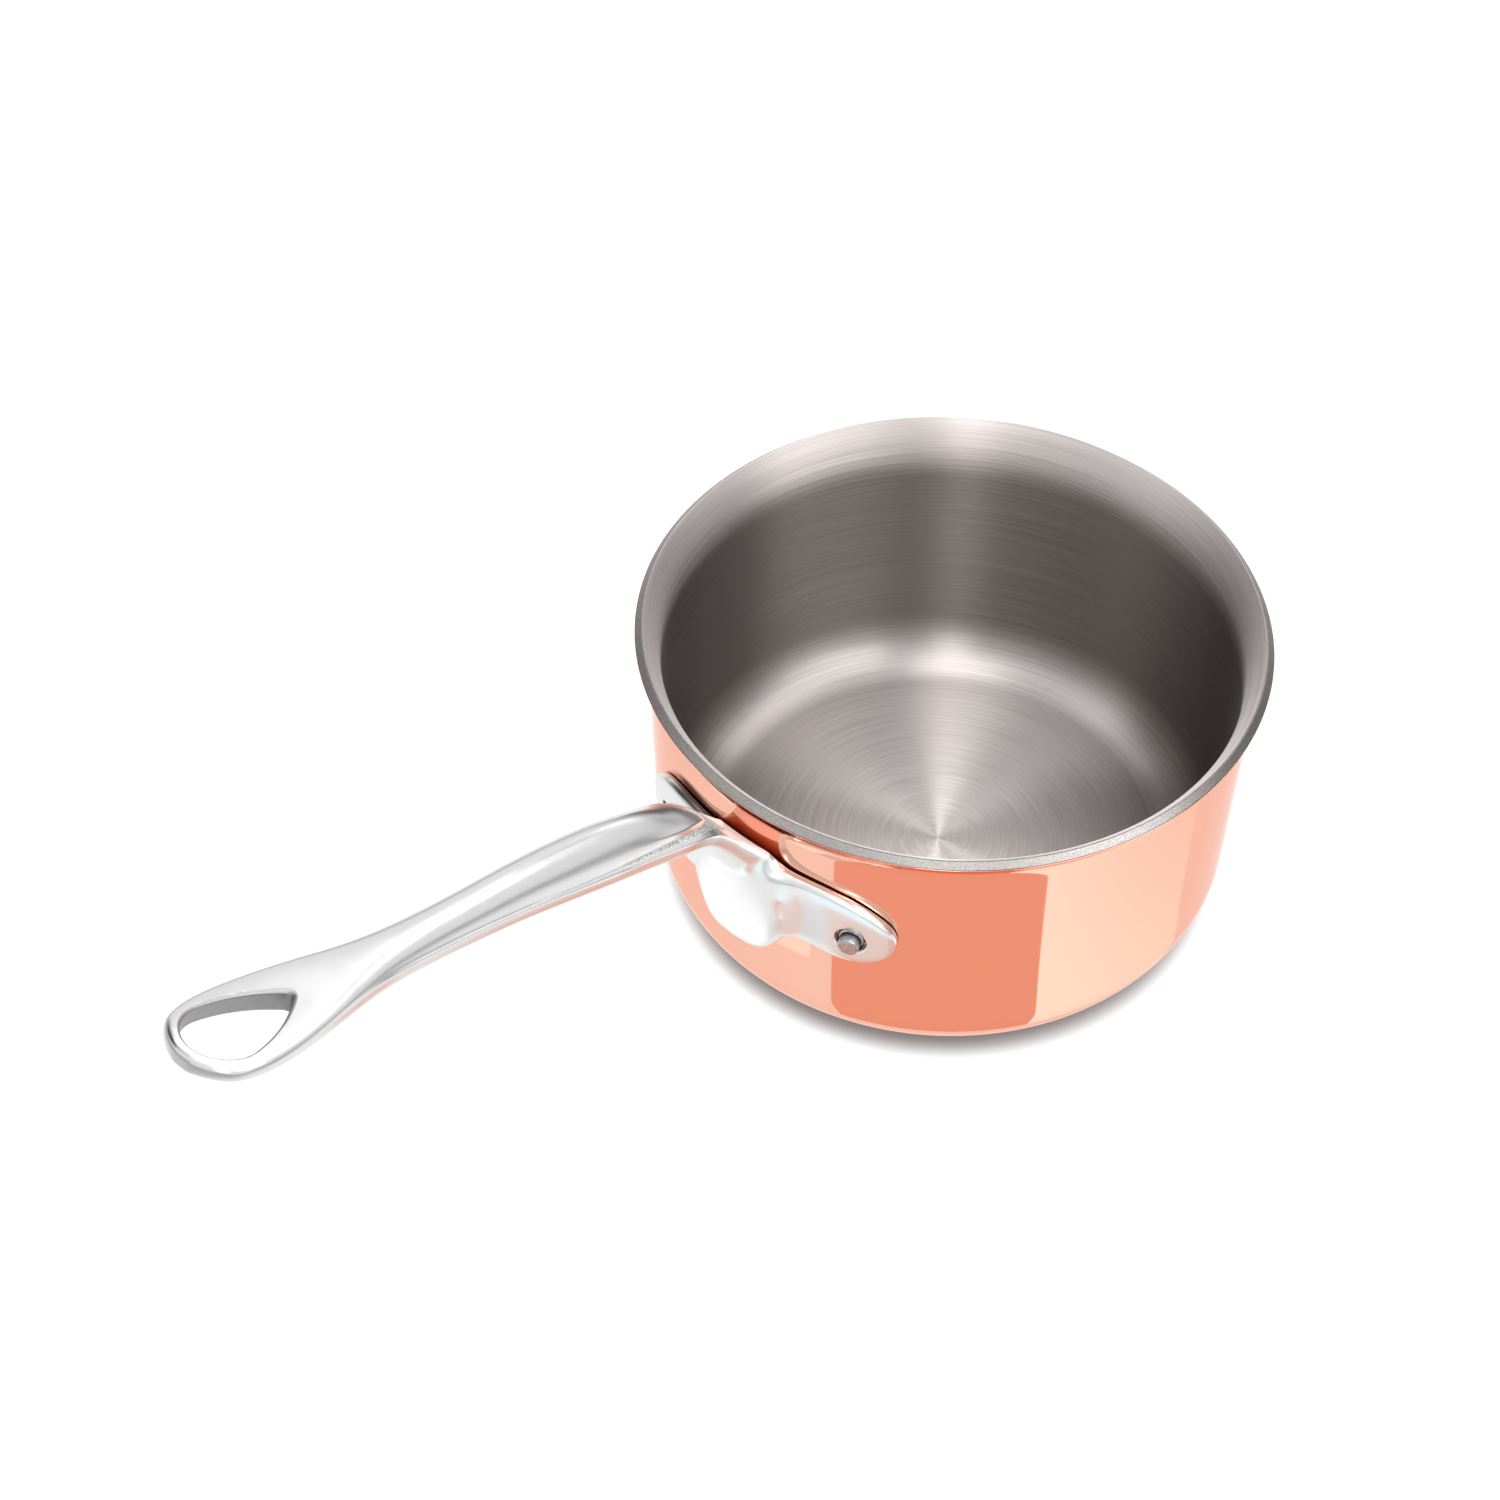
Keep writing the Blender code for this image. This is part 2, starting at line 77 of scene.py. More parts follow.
CROWN_HEIGHT = ((87.4, 0.0), (89.0, 0.75), (92.0, 1.3), (97.0, 2.15), (103.0, 3.55), (112.0, 6.0),
                (125.0, 7.4), (139.0, 7.2), (154.5, 6.4), (169.0, 5.1), (184.0, 4.3), (197.0, 3.6),
                (208.3, 3.0), (217.3, 2.4), (226.3, 2.1), (244.6, 1.9), (246.6, 1.75),
                (247.7, 1.35), (248.2, 0.8), (248.4, 0.3))
CROWN_EDGE = ((87.4, 0.8), (97.0, 0.89), (103.0, 0.94), (112.0, 0.96), (125.0, 0.93),
              (150.0, 0.88))
CROWN_EDGE_RISE = ((87.4, 0.8), (97.0, 0.68), (103.0, 0.5), (112.0, 0.37), (125.0, 0.38),
                   (150.0, 0.475))
LEDGE_HEIGHT = ((76.5, 0.0), (79.5, 0.6), (112.0, 0.6), (150.0, 0.0))
BRIM_SIDE = ((76.5, 1.0), (96.0, 1.3), (125.0, 0.8), (150.0, 0.4), (248.8, 0.35))
LEDGE_SIDE = ((87.4, 0.9), (103.0, 0.8), (125.0, 0.4), (248.8, 0.35))
# Columns of an ear: its reach to the side, its low and high edge, and the bulge of its end
EAR_COLUMNS = ((15.5, 38.4, 59.0, 0.0), (22.0, 36.2, 58.4, 0.0), (30.5, 35.4, 56.2, 0.0),
               (37.2, 40.2, 50.8, 2.2))

# Where the parts of the handle begin and end
CROWN_NOSE = 87.4
LEDGE_NOSE = 77.0
CROWN_NOSE_LENGTH = 17.5
LEDGE_NOSE_LENGTH = 18.0
LEDGE_END = 113.0
CROWN_SHOULDER_END = 110.0
CROWN_FOOT_END = 150.0
TAIL = (184.0, 212.0)
TAIL_FALL = ((0.6, 1.0), (0.88, 0.88), (1.0, 0.65))
SEAT_LENGTH = 57.0
UNWRAP_LENGTH = 26.0
EYE_END = 237.5
EYE_TIP = 219.9
EYE_BULGE = 36.0

# Columns of a ring of the cage, and the handle's second and third finish; the third, in the eye, is
# rougher and darkened by painted shade
RING_LAST_TOP = 10
LEDGE_FINISH = 1
EYE_FINISH_AND_SHADE = 2

# Where the pan's profile has points: shares of the base's radius and of the straight wall
BASE_SHARES = (0.0, 0.04, 0.15, 0.3, 0.5, 0.7, 0.85, 0.96)
WALL_SHARES = (0.06, 0.25, 0.5, 0.75, 0.94)
MAP_SCALE = 10.0
RIVET_STEPS = 64
PATCH_STEPS = 12

# Lamps: name, place in the studio, width, length and share of the lamps' brightness
ROOM_LAMPS = (
    ("top_lamp", (-0.12, -0.035, 1.5), 0.36, 0.8, 1.0),
    ("side_lamp", (0.68, 0.93, 0.96), 1.1, 0.6, 0.75),
    ("right_lamp", (-0.4, 0.7, 1.2), 0.6, 0.6, 0.5),
    ("left_lamp", (-0.45, -0.45, 1.25), 0.5, 0.5, 0.36),
    ("rear_lamp", (-0.95, 0.0, 1.1), 0.8, 0.35, 0.25),
    ("front_lamp", (1.1, -0.06, 0.7), 0.26, 0.75, 0.75),
)

# Dark corners of the sky: direction in the studio, and how near to it the darkening starts and ends
DARK_CORNERS = (((-0.39, 0.92, 0.0), 0.55, 0.85), ((-0.50, -0.71, 0.5), 0.8, 0.97))

# Floor: half its side, and how far it lies under the base
FLOOR_HALF = 20.0
FLOOR_DROP = 0.02 * MM

# Floor cards: name, first and last angle from the camera in degrees, near and far reach in metres
WARM_PANEL = ("warm_panel", -22.3, 19.1, 0.0, 0.060)
PALE_PANEL = ("pale_panel", 19.1, 55.0, 0.0, 0.060)
EAR_CARD = ("ear_card", -27.0, -22.3, 0.029, 0.047)
LOBE_CARD = ("lobe_card", -55.0, -27.0, 0.022, 0.047)


class PanSettings(PropertyGroup):
    """Sizes of the pan and its plies."""

    rim_radius: FloatProperty(
        name="Rim Radius", description="Outer corner of the ground rim edge",
        default=SHELL_HIGH.x, unit="LENGTH")
    rim_height: FloatProperty(
        name="Rim Height", description="Height of the outer corner of the ground rim edge",
        default=0.0757, unit="LENGTH")
    lip_radius: FloatProperty(
        name="Lip Radius", description="Radius of the flare under the rim",
        default=0.0115, unit="LENGTH")
    lip_lean: FloatProperty(
        name="Lip Lean", description="Lean of the lip at the rim, from the vertical",
        default=math.radians(45.0), subtype="ANGLE")
    wall_lean: FloatProperty(
        name="Wall Lean", description="Lean of the straight wall, from the vertical",
        default=math.radians(2.5), subtype="ANGLE")
    corner_radius: FloatProperty(
        name="Corner Radius", description="Outer radius between the wall and the base",
        default=0.0163, unit="LENGTH")
    copper_ply: FloatProperty(
        name="Copper Ply", description="Thickness of the copper", default=0.00014, unit="LENGTH")
    core_ply: FloatProperty(
        name="Core Ply", description="Thickness of the aluminium core",
        default=0.00205, unit="LENGTH")
    lining_ply: FloatProperty(
        name="Lining Ply", description="Thickness of the steel lining",
        default=0.0004, unit="LENGTH")
    ply_gap: FloatProperty(
        name="Ply Gap", description="Hairline between two plies at the rim",
        default=0.00008, unit="LENGTH")
    edge_round: FloatProperty(
        name="Edge Rounding", description="Rounding of the corners of the rim edge",
        default=0.00012, unit="LENGTH")
    spin_steps: IntProperty(
        name="Spin Steps", description="Faces round the pan", default=192, min=24)


class HandleSettings(PropertyGroup):
    """Sizes of the cast handle and its rivets."""

    seat_gap: FloatProperty(
        name="Seat Gap", description="Gap between the flange and the copper",
        default=0.0003, unit="LENGTH")
    ear_thickness: FloatProperty(
        name="Ear Thickness", description="Thickness of the flange's two ears",
        default=0.0028, unit="LENGTH")
    eye_radius: FloatProperty(
        name="Eye Radius", description="Round end of the hanging eye",
        default=0.0084, unit="LENGTH")
    eye_tip_radius: FloatProperty(
        name="Eye Tip Radius", description="Narrow tip of the hanging eye",
        default=0.0013, unit="LENGTH")
    eye_lip: FloatProperty(
        name="Eye Lip", description="Rounding of the hanging eye's edges",
        default=0.0009, unit="LENGTH")
    detail: IntProperty(
        name="Detail", description="Subdivisions of the handle's cage", default=3, min=1, max=4)
    rivet_turn: FloatProperty(
        name="Rivet Turn", description="Angle round the pan from the handle to a rivet",
        default=math.radians(22.6), subtype="ANGLE")
    rivet_height: FloatProperty(
        name="Rivet Height", description="Height of the rivets above the base",
        default=0.0448, unit="LENGTH")
    shank_radius: FloatProperty(
        name="Shank Radius", description="Rivet shank in its hole", default=0.0031, unit="LENGTH")
    tip_radius: FloatProperty(
        name="Tip Radius", description="Narrow outer end of a rivet", default=0.0026, unit="LENGTH")


class FinishSettings(PropertyGroup):
    """Colours of the metals."""

    copper: FloatVectorProperty(
        name="Copper", description="Polished copper", subtype="COLOR", default=(0.93, 0.52, 0.40))
    core: FloatVectorProperty(
        name="Core", description="Ground aluminium at the rim",
        subtype="COLOR", default=(0.43, 0.405, 0.395))
    lining: FloatVectorProperty(
        name="Lining", description="Brushed steel lining",
        subtype="COLOR", default=(0.56, 0.515, 0.505))
    casting: FloatVectorProperty(
        name="Casting", description="Polished cast steel",
        subtype="COLOR", default=(0.80, 0.80, 0.80))
    rivet: FloatVectorProperty(
        name="Rivet", description="Rivet steel", subtype="COLOR", default=(0.52, 0.52, 0.52))


class StudioSettings(PropertyGroup):
    """Camera, floor and light."""

    camera_aim: FloatVectorProperty(
        name="Camera Aim", description="Point the camera looks at", subtype="TRANSLATION",
        default=(0.0312, -0.0361, 0.0328))
    camera_distance: FloatProperty(
        name="Camera Distance", description="From the aim to the camera",
        default=0.9889, unit="LENGTH")
    camera_azimuth: FloatProperty(
        name="Camera Azimuth", description="Angle round the pan from the handle to the camera",
        default=math.radians(40.8), subtype="ANGLE")
    camera_elevation: FloatProperty(
        name="Camera Elevation", description="Camera's angle above the floor",
        default=math.radians(46.79), subtype="ANGLE")
    camera_roll: FloatProperty(
        name="Camera Roll", description="Tilt of the picture",
        default=math.radians(1.655), subtype="ANGLE")
    lens: FloatProperty(name="Lens", description="Focal length in millimetres", default=96.71)
    floor_colour: FloatVectorProperty(
        name="Floor", description="Pale studio floor", subtype="COLOR", default=(0.15, 0.15, 0.15))
    floor_far: FloatProperty(
        name="Far Floor", description="Brightness of the distant floor in the metal", default=0.45)
    floor_lift: FloatProperty(
        name="Floor Lift", description="Light that keeps the open floor white", default=1.0)
    sky_low: FloatProperty(
        name="Low Sky", description="Brightness of the sky up to mid height", default=0.9)
    sky_dark: FloatProperty(
        name="Dark Corners", description="Share of it left in the dark corners", default=0.05)
    sky_high: FloatProperty(
        name="High Sky", description="Brightness of the sky overhead", default=1.2)
    lamp: FloatProperty(name="Lamps", description="Brightness of the soft lamps", default=4.0)
    panel_colour: FloatVectorProperty(
        name="Panel", description="Warm panel that the copper mirrors", subtype="COLOR",
        default=(0.92, 0.55, 0.44))
    glow: FloatProperty(
        name="Glow", description="Brightness of the pale panel beside it", default=1.4)


def pan():
    return bpy.context.scene.saucepan_pan


def grip():
    return bpy.context.scene.saucepan_handle


def finishes():
    return bpy.context.scene.saucepan_finishes


def studio():
    return bpy.context.scene.saucepan_studio


# Meshes

def mesh_object(name, bm):
    mesh = bpy.data.meshes.new(name)
    bm.to_mesh(mesh)
    bm.free()
    obj = bpy.data.objects.new(name, mesh)
    bpy.context.scene.collection.objects.link(obj)
    return obj


def dress(piece, node, materials, sharp=35.0):
    """Shade a piece, give it its materials, and let it stand for its node on the pan's body."""
    for material in materials:
        piece.data.materials.append(material)
    piece.data.shade_smooth()
    piece.data.set_sharp_from_angle(angle=math.radians(sharp))
    weighted = piece.modifiers.new("Even Shading", "WEIGHTED_NORMAL")
    weighted.keep_sharp = True
    weighted.weight = 80
    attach(piece, "root")
    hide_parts(node)


def evaluated_bmesh(obj):
    """The object's mesh with its modifiers applied, as a new bmesh; the object is removed."""
    evaluated = obj.evaluated_get(bpy.context.evaluated_depsgraph_get())
    bm = bmesh.new()
    bm.from_mesh(evaluated.to_mesh())
    evaluated.to_mesh_clear()
    bpy.data.objects.remove(obj)
    return bm


def turned(outline, steps):
    """A closed body turned about Z from an outline of radius and height, open at the axis."""
    bm = bmesh.new()
    verts = [bm.verts.new((point.x, 0.0, point.y)) for point in outline]
    edges = [bm.edges.new(pair) for pair in zip(verts, verts[1:])]
    bmesh.ops.spin(bm, geom=verts + edges, cent=(0, 0, 0), axis=(0, 0, 1),
                   angle=2.0 * math.pi, steps=steps, use_merge=True)
    bmesh.ops.remove_doubles(bm, verts=bm.verts, dist=0.001 * MM)
    bmesh.ops.recalc_face_normals(bm, faces=bm.faces)
    return bm


def arc(centre, radius, start, end, steps):
    """Points of a round stretch; angles run from the first axis towards the second."""
    points = []
    for step in range(steps + 1):
        turn = start + (end - start) * step / steps
        points.append(centre + radius * Vector((math.cos(turn), math.sin(turn))))
    return points


def cut(piece, cutters):
    """Cut holes, apply them, and remove the cutters."""
    for cutter in cutters:
        boolean = piece.modifiers.new(cutter.name, "BOOLEAN")
        boolean.operation = "DIFFERENCE"
        boolean.solver = "EXACT"
        boolean.object = cutter
    evaluated = piece.evaluated_get(bpy.context.evaluated_depsgraph_get())
    whole = piece.data
    piece.data = bpy.data.meshes.new_from_object(evaluated)
    piece.data.name = piece.name
    piece.modifiers.clear()
    bpy.data.meshes.remove(whole)
    for cutter in cutters:
        bpy.data.objects.remove(cutter)


# Pan

def outward(lean):
    """Direction (radius, height) that faces out of a wall leaning out from the vertical."""
    return Vector((math.cos(lean), -math.sin(lean)))


def lip_centre():
    return Vector((pan().rim_radius, pan().rim_height)) + pan().lip_radius * outward(pan().lip_lean)


def wall_point(height):
    """Point of the straight wall's outer surface, as radius and height."""
    foot = lip_centre() - pan().lip_radius * outward(pan().wall_lean)
    return Vector((foot.x + (height - foot.y) * math.tan(pan().wall_lean), height))


def ply_path(depth):
    """The pan's profile at a depth under the copper's surface, from the axis to the rim."""
    size = pan()
    reach = outward(size.wall_lean).dot(wall_point(0.0)) - size.corner_radius
    centre_radius = reach + size.corner_radius * math.sin(size.wall_lean)
    centre_radius /= math.cos(size.wall_lean)
    centre = Vector((centre_radius, size.corner_radius))
    points = [Vector((centre_radius * share, depth)) for share in BASE_SHARES]
    corner = size.corner_radius - depth
    points += arc(centre, corner, -math.pi / 2, -size.wall_lean, 16)
    wall_top = lip_centre() - (size.lip_radius + depth) * outward(size.wall_lean)
    wall_foot = points[-1]
    points += [wall_foot.lerp(wall_top, share) for share in WALL_SHARES]
    points += arc(lip_centre(), size.lip_radius + depth, math.pi - size.wall_lean,
                  math.pi - size.lip_lean, 12)
    return points


def ply_outline(depth, thickness):
    """Outline of one ply, with the two corners of its rim edge rounded."""
    outer = ply_path(depth)
    inner = ply_path(depth + thickness)
    along = Vector((math.sin(pan().lip_lean), math.cos(pan().lip_lean)))
    across = outward(pan().lip_lean)
    ease = min(pan().edge_round, 0.3 * thickness)
    rim = []
    for corner, side in ((outer[-1], 1.0), (inner[-1], -1.0)):
        turns = (0.0, 0.25, 0.5, 0.75, 1.0) if side > 0 else (1.0, 0.75, 0.5, 0.25, 0.0)
        centre = corner - ease * along - side * ease * across
        for turn in turns:
            angle = turn * math.pi / 2
            rim.append(centre + ease * (side * math.cos(angle) * across + math.sin(angle) * along))
    return outer[:-1] + rim + inner[:-1][::-1]


def brush_map(bm):
    """A map whose first axis runs along the profile and whose second runs round the pan."""
    layer = bm.loops.layers.uv.new("brush")
    for face in bm.faces:
        middle = face.calc_center_median()
        heading = math.atan2(middle.y, middle.x)
        for loop in face.loops:
            spot = loop.vert.co
            radius = math.hypot(spot.x, spot.y)
            turn = heading
            if radius > MM:
                turn += math.remainder(math.atan2(spot.y, spot.x) - heading, 2.0 * math.pi)
            loop[layer].uv = ((radius + spot.z) * MAP_SCALE, turn / (2.0 * math.pi))


def make_ply(name, depth, thickness, brushed=False):
    bm = turned(ply_outline(depth, thickness), pan().spin_steps)
    if brushed:
        brush_map(bm)
    piece = mesh_object(name, bm)
    cut(piece, [rivet_cutter(side) for side in (-1.0, 1.0)])
    return piece


# Rivets

def rivet_frame(side):
    """Placement of a rivet: local Z runs out of the wall, from the copper's surface."""
    wall = wall_point(grip().rivet_height)
    tilt = Matrix.Rotation(math.pi / 2 + pan().wall_lean, 4, "Y")
    turn = Matrix.Rotation(side * grip().rivet_turn, 4, "Z")
    return turn @ Matrix.Translation((wall.x, 0.0, wall.y)) @ tilt


def rivet_cutter(side, eased=False):
    """Round cutter for a rivet's hole; the hole through an ear is eased where it opens."""
    reach = 12.0 * MM
    clearance = (0.7 if eased else 0.3) * MM
    radius = grip().shank_radius + clearance
    outline = [Vector((0.0, -reach)), Vector((radius, -reach))]
    if eased:
        ease = 0.7 * MM
        face = grip().seat_gap + grip().ear_thickness
        outline += arc(Vector((radius + ease, face - ease)), ease, math.pi, math.pi / 2, 6)
        outline.append(Vector((radius + ease, reach)))
    else:
        outline.append(Vector((radius, reach)))
    outline.append(Vector((0.0, reach)))
    bm = turned(outline, RIVET_STEPS)
    bmesh.ops.transform(bm, matrix=rivet_frame(side), verts=bm.verts)
    return mesh_object("rivet_cutter", bm)


def make_rivet(name, side):
    """Domed head inside the pan, shank through the wall and the ear, narrow tip outside."""
    size = grip()
    wall = pan().copper_ply + pan().core_ply + pan().lining_ply + 2.0 * pan().ply_gap
    head_radius = 6.5 * MM
    dome = 2.2 * MM
    dome_steps = 12
    seat = -wall - 0.6 * MM
    edge = seat - 0.5 * MM
    shank_end = 2.3 * MM
    tip_end = 5.2 * MM
    ease = 0.45 * MM
    outline = []
    for step in range(dome_steps + 1):
        turn = 0.5 * math.pi * step / dome_steps
        outline.append(Vector((head_radius * math.sin(turn), edge - dome * math.cos(turn))))
    outline += [Vector((head_radius, seat)), Vector((size.shank_radius, seat))]
    outline += arc(Vector((size.shank_radius - ease, shank_end - ease)), ease, 0.0, math.pi / 2, 5)
    outline += arc(Vector((size.tip_radius + ease / 2, shank_end + ease / 2)), ease / 2,
                   1.5 * math.pi, math.pi, 4)
    outline += arc(Vector((size.tip_radius - ease, tip_end - ease)), ease, 0.0, math.pi / 2, 5)
    outline.append(Vector((0.0, tip_end)))
    bm = turned(outline, RIVET_STEPS)
    bmesh.ops.transform(bm, matrix=rivet_frame(side), verts=bm.verts)
    return mesh_object(name, bm)


# Handle

def at(keys, distance):
    """Value at a distance along the handle, on straight lines between the keys."""
    if distance <= keys[0][0]:
        return keys[0][1]
    for (start, first), (end, last) in zip(keys, keys[1:]):
        if distance <= end:
            return first + (last - first) * (distance - start) / (end - start)
    return keys[-1][1]


def nose_width(distance, nose, length, full):
    """Half width of a round nose that reaches its full width one nose length behind its end."""
    behind = min(max((distance - nose) / length, 0.0), 1.0)
    return full * math.sqrt(1.0 - (1.0 - behind) ** 2)


def tail_share(distance):
    """How far the section has turned from the arched bar into the flat tail with rounded edges."""
    return min(max((distance - TAIL[0]) / (TAIL[1] - TAIL[0]), 0.0), 1.0)


def section(distance):
    """One ring of the handle, laid flat: (distance, side, height above the upper face).

    The ring runs over the top from -Y to +Y and back underneath. Near the pan the top carries
    a ledge and the raised crown; on the flange the top is the plain face against the wall.
    """
    half = at(HALF_WIDTH, distance)
    edge = at(EDGE_THICKNESS, distance)
    mid = at(MID_THICKNESS, distance)
    ledge = at(LEDGE_HEIGHT, distance)
    full = half - at(BRIM_SIDE, distance)
    crown_half = nose_width(distance, CROWN_NOSE, CROWN_NOSE_LENGTH,
                            full - at(LEDGE_SIDE, distance))
    ledge_half = max(nose_width(distance, LEDGE_NOSE, LEDGE_NOSE_LENGTH, full), 0.25 * half)
    crown = at(CROWN_HEIGHT, distance) if distance > CROWN_NOSE else 0.0
    flat = tail_share(distance)
    top = [(half, 0.0)]
    if distance < LEDGE_NOSE:
        top += [(share * half, 0.0) for share in (0.9, 0.75, 0.5, 0.25)]
    else:
        if distance <= CROWN_NOSE:
            crown_half = 1.2 if distance == CROWN_NOSE else 0.7 * ledge_half
        top.append((ledge_half, ledge + 0.35 * flat * crown))
        top.append((crown_half, ledge + 0.65 * flat * crown))
        rise = at(CROWN_EDGE_RISE, distance)
        top.append((at(CROWN_EDGE, distance) * crown_half,
                    ledge + (rise + (0.88 - rise) * flat) * crown))
        top.append(((0.5 + 0.1 * flat) * crown_half, ledge + (0.866 + 0.134 * flat) * crown))
    under = [(half, -edge), (0.55 * half, -0.25 * edge - 0.75 * mid)]
    ring = [(-side, height) for side, height in top]
    ring.append((0.0, ledge + crown))
    ring += top[::-1] + under
    ring.append((0.0, -mid))
    ring += [(-side, height) for side, height in under[::-1]]
    return [Vector((distance, side, height)) for side, height in ring]


def extrude_to(bm, ring, places):
    """Extrude a closed chain of verts to new places, and give the new chain."""
    edges = [bm.edges.get(pair) for pair in zip(ring, ring[1:] + ring[:1])]
    made = bmesh.ops.extrude_edge_only(bm, edges=edges)["geom"]
    fresh = {item for item in made if isinstance(item, bmesh.types.BMVert)}
    chain = []
    for vert in ring:
        step = next(edge for edge in vert.link_edges if edge.other_vert(vert) in fresh)
        chain.append(step.other_vert(vert))
    for vert, place in zip(chain, places):
        vert.co = place
    return chain


def add_ear(bm, side, back, front):
    """Grow one ear out of the flange's edge, from its back and front verts by row."""
    rows = len(back)
    for row in range(rows - 1):
        bm.faces.remove(bm.faces.get((back[row], back[row + 1], front[row + 1], front[row])))
    loop = back + front[::-1]
    thickness = grip().ear_thickness / MM
    for reach, low, high, bulge in EAR_COLUMNS:
        places = []
        for row in range(rows):
            share = row / (rows - 1)
            out = reach + bulge * math.sin(math.pi * share)
            places.append(Vector((low + (high - low) * share, side * out, 0.0)))
        places += [place - Vector((0.0, 0.0, thickness)) for place in places[::-1]]
        loop = extrude_to(bm, loop, places)
    back, front = loop[:rows], loop[rows:][::-1]
    for row in range(rows - 1):
        bm.faces.new((back[row], back[row + 1], front[row + 1], front[row]))


def flat_handle():
    """The handle's coarse cage, laid flat along its upper face, in millimetres."""
    bm = bmesh.new()
    rows = FLANGE_ROWS + BAR_ROWS
    ring = [bm.verts.new(place) for place in section(rows[0])]
    for pair in zip(ring, ring[1:] + ring[:1]):
        bm.edges.new(pair)
    bm.faces.new(ring)
    rings = [ring]
    for distance in rows[1:]:
        rings.append(extrude_to(bm, rings[-1], section(distance)))
    bm.faces.new(rings[-1])
    ear_rings = rings[FLANGE_ROWS.index(EAR_START):len(FLANGE_ROWS)]
    last = RING_LAST_TOP
    add_ear(bm, -1.0, [ring[0] for ring in ear_rings], [ring[-1] for ring in ear_rings])
    add_ear(bm, 1.0, [ring[last] for ring in ear_rings], [ring[last + 1] for ring in ear_rings])
    bmesh.ops.recalc_face_normals(bm, faces=bm.faces)
    mark_ledge(bm, rings)
    set_creases(bm, rings)
    return bm


def mark_ledge(bm, rings):
    """Give the ledge round the crown's nose the as-cast finish."""
    for ring, following in zip(rings, rings[1:]):
        distance = ring[0].co.x
        if not LEDGE_NOSE <= distance < LEDGE_END:
            continue
        columns = range(1, 9) if distance < CROWN_NOSE else (1, 8)
        for column in columns:
            corners = (ring[column], ring[column + 1], following[column + 1], following[column])
            bm.faces.get(corners).material_index = LEDGE_FINISH


def set_creases(bm, rings):
    """Keep the crown's foot crisp, and the flange's rim and the brim tighter than the rest."""
    crease = bm.edges.layers.float.new("crease_edge")
    for edge in bm.edges:
        low = max(vert.co.x for vert in edge.verts) <= FLANGE_ROWS[-1]
        if low and edge.calc_face_angle(0.0) > 1.0:
            edge[crease] = 0.7 if edge.verts[0].co.z == 0.0 == edge.verts[1].co.z else 0.0
    for ring, following in zip(rings, rings[1:]):
        if CROWN_NOSE <= ring[0].co.x < CROWN_FOOT_END:
            for column in (2, RING_LAST_TOP - 2):
                bm.edges.get((ring[column], following[column]))[crease] = 0.8
        if CROWN_NOSE < ring[0].co.x < CROWN_SHOULDER_END:
            for column in (3, RING_LAST_TOP - 3):
                bm.edges.get((ring[column], following[column]))[crease] = 0.5
        if abs(ring[0].co.x - CROWN_NOSE) < 0.01:
            for column in range(2, RING_LAST_TOP - 2):
                bm.edges.get((ring[column], ring[column + 1]))[crease] = 0.8
        if FLANGE_ROWS[-1] <= ring[0].co.x < LEDGE_END:
            for column in (0, RING_LAST_TOP):
                bm.edges.get((ring[column], following[column]))[crease] = 0.6


def handle_runs():
    """Runs of the handle's upper face: a length and, where it turns, the radius of the turn."""
    neck_radius, shoulder_radius, bow_radius, bar_radius, tail_radius = (
        14.0 * MM, 35.0 * MM, 1200.0 * MM, 300.0 * MM, 800.0 * MM)
    return (
        (SEAT_LENGTH * MM, None),
        (neck_radius * math.radians(37.5), neck_radius),
        (17.5 * MM, None),
        (shoulder_radius * math.radians(28.0), shoulder_radius),
        (bow_radius * math.radians(2.0), bow_radius),
        (2.0 * MM, None),
        (bar_radius * math.radians(2.5), bar_radius),
        (14.0 * MM, None),
        (tail_radius * math.radians(1.6), tail_radius),
        (120.0 * MM, None),
    )


def handle_path(distance):
    """Place (radius, height) and lean of the handle's upper face at a distance along it."""
    lean = pan().wall_lean
    place = wall_point(0.0) + grip().seat_gap * outward(lean)
    left = distance
    for length, radius in handle_runs():
        step = min(left, length)
        if radius is None:
            place = place + step * Vector((math.sin(lean), math.cos(lean)))
        else:
            end = lean + step / radius
            swing = Vector((math.cos(lean) - math.cos(end), math.sin(end) - math.sin(lean)))
            place = place + radius * swing
            lean = end
        left -= step
        if left <= 0.0:
            break
    return place, lean


def bend(flat):
    """Bend a flat point of the handle: round the pan's wall, out at the neck, along the bar."""
    distance, side, height = flat * MM
    place, lean = handle_path(distance)
    spot = place - height * outward(lean)
    fade = min(max((distance - SEAT_LENGTH * MM) / (UNWRAP_LENGTH * MM), 0.0), 1.0)
    wrap = 1.0 - fade * fade * (3.0 - 2.0 * fade)
    around = side / place.x
    wrapped = Vector((spot.x * math.cos(around), spot.x * math.sin(around), spot.y))
    return Vector((spot.x, side, spot.y)).lerp(wrapped, wrap)


def top_height(distance, side):
    """Height of the tail's upper surface at a place beside the handle's middle."""
    half = at(HALF_WIDTH, distance) - at(BRIM_SIDE, distance) - at(LEDGE_SIDE, distance)
    rise = at(TAIL_FALL, abs(side) / half)
    return rise * at(CROWN_HEIGHT, distance)


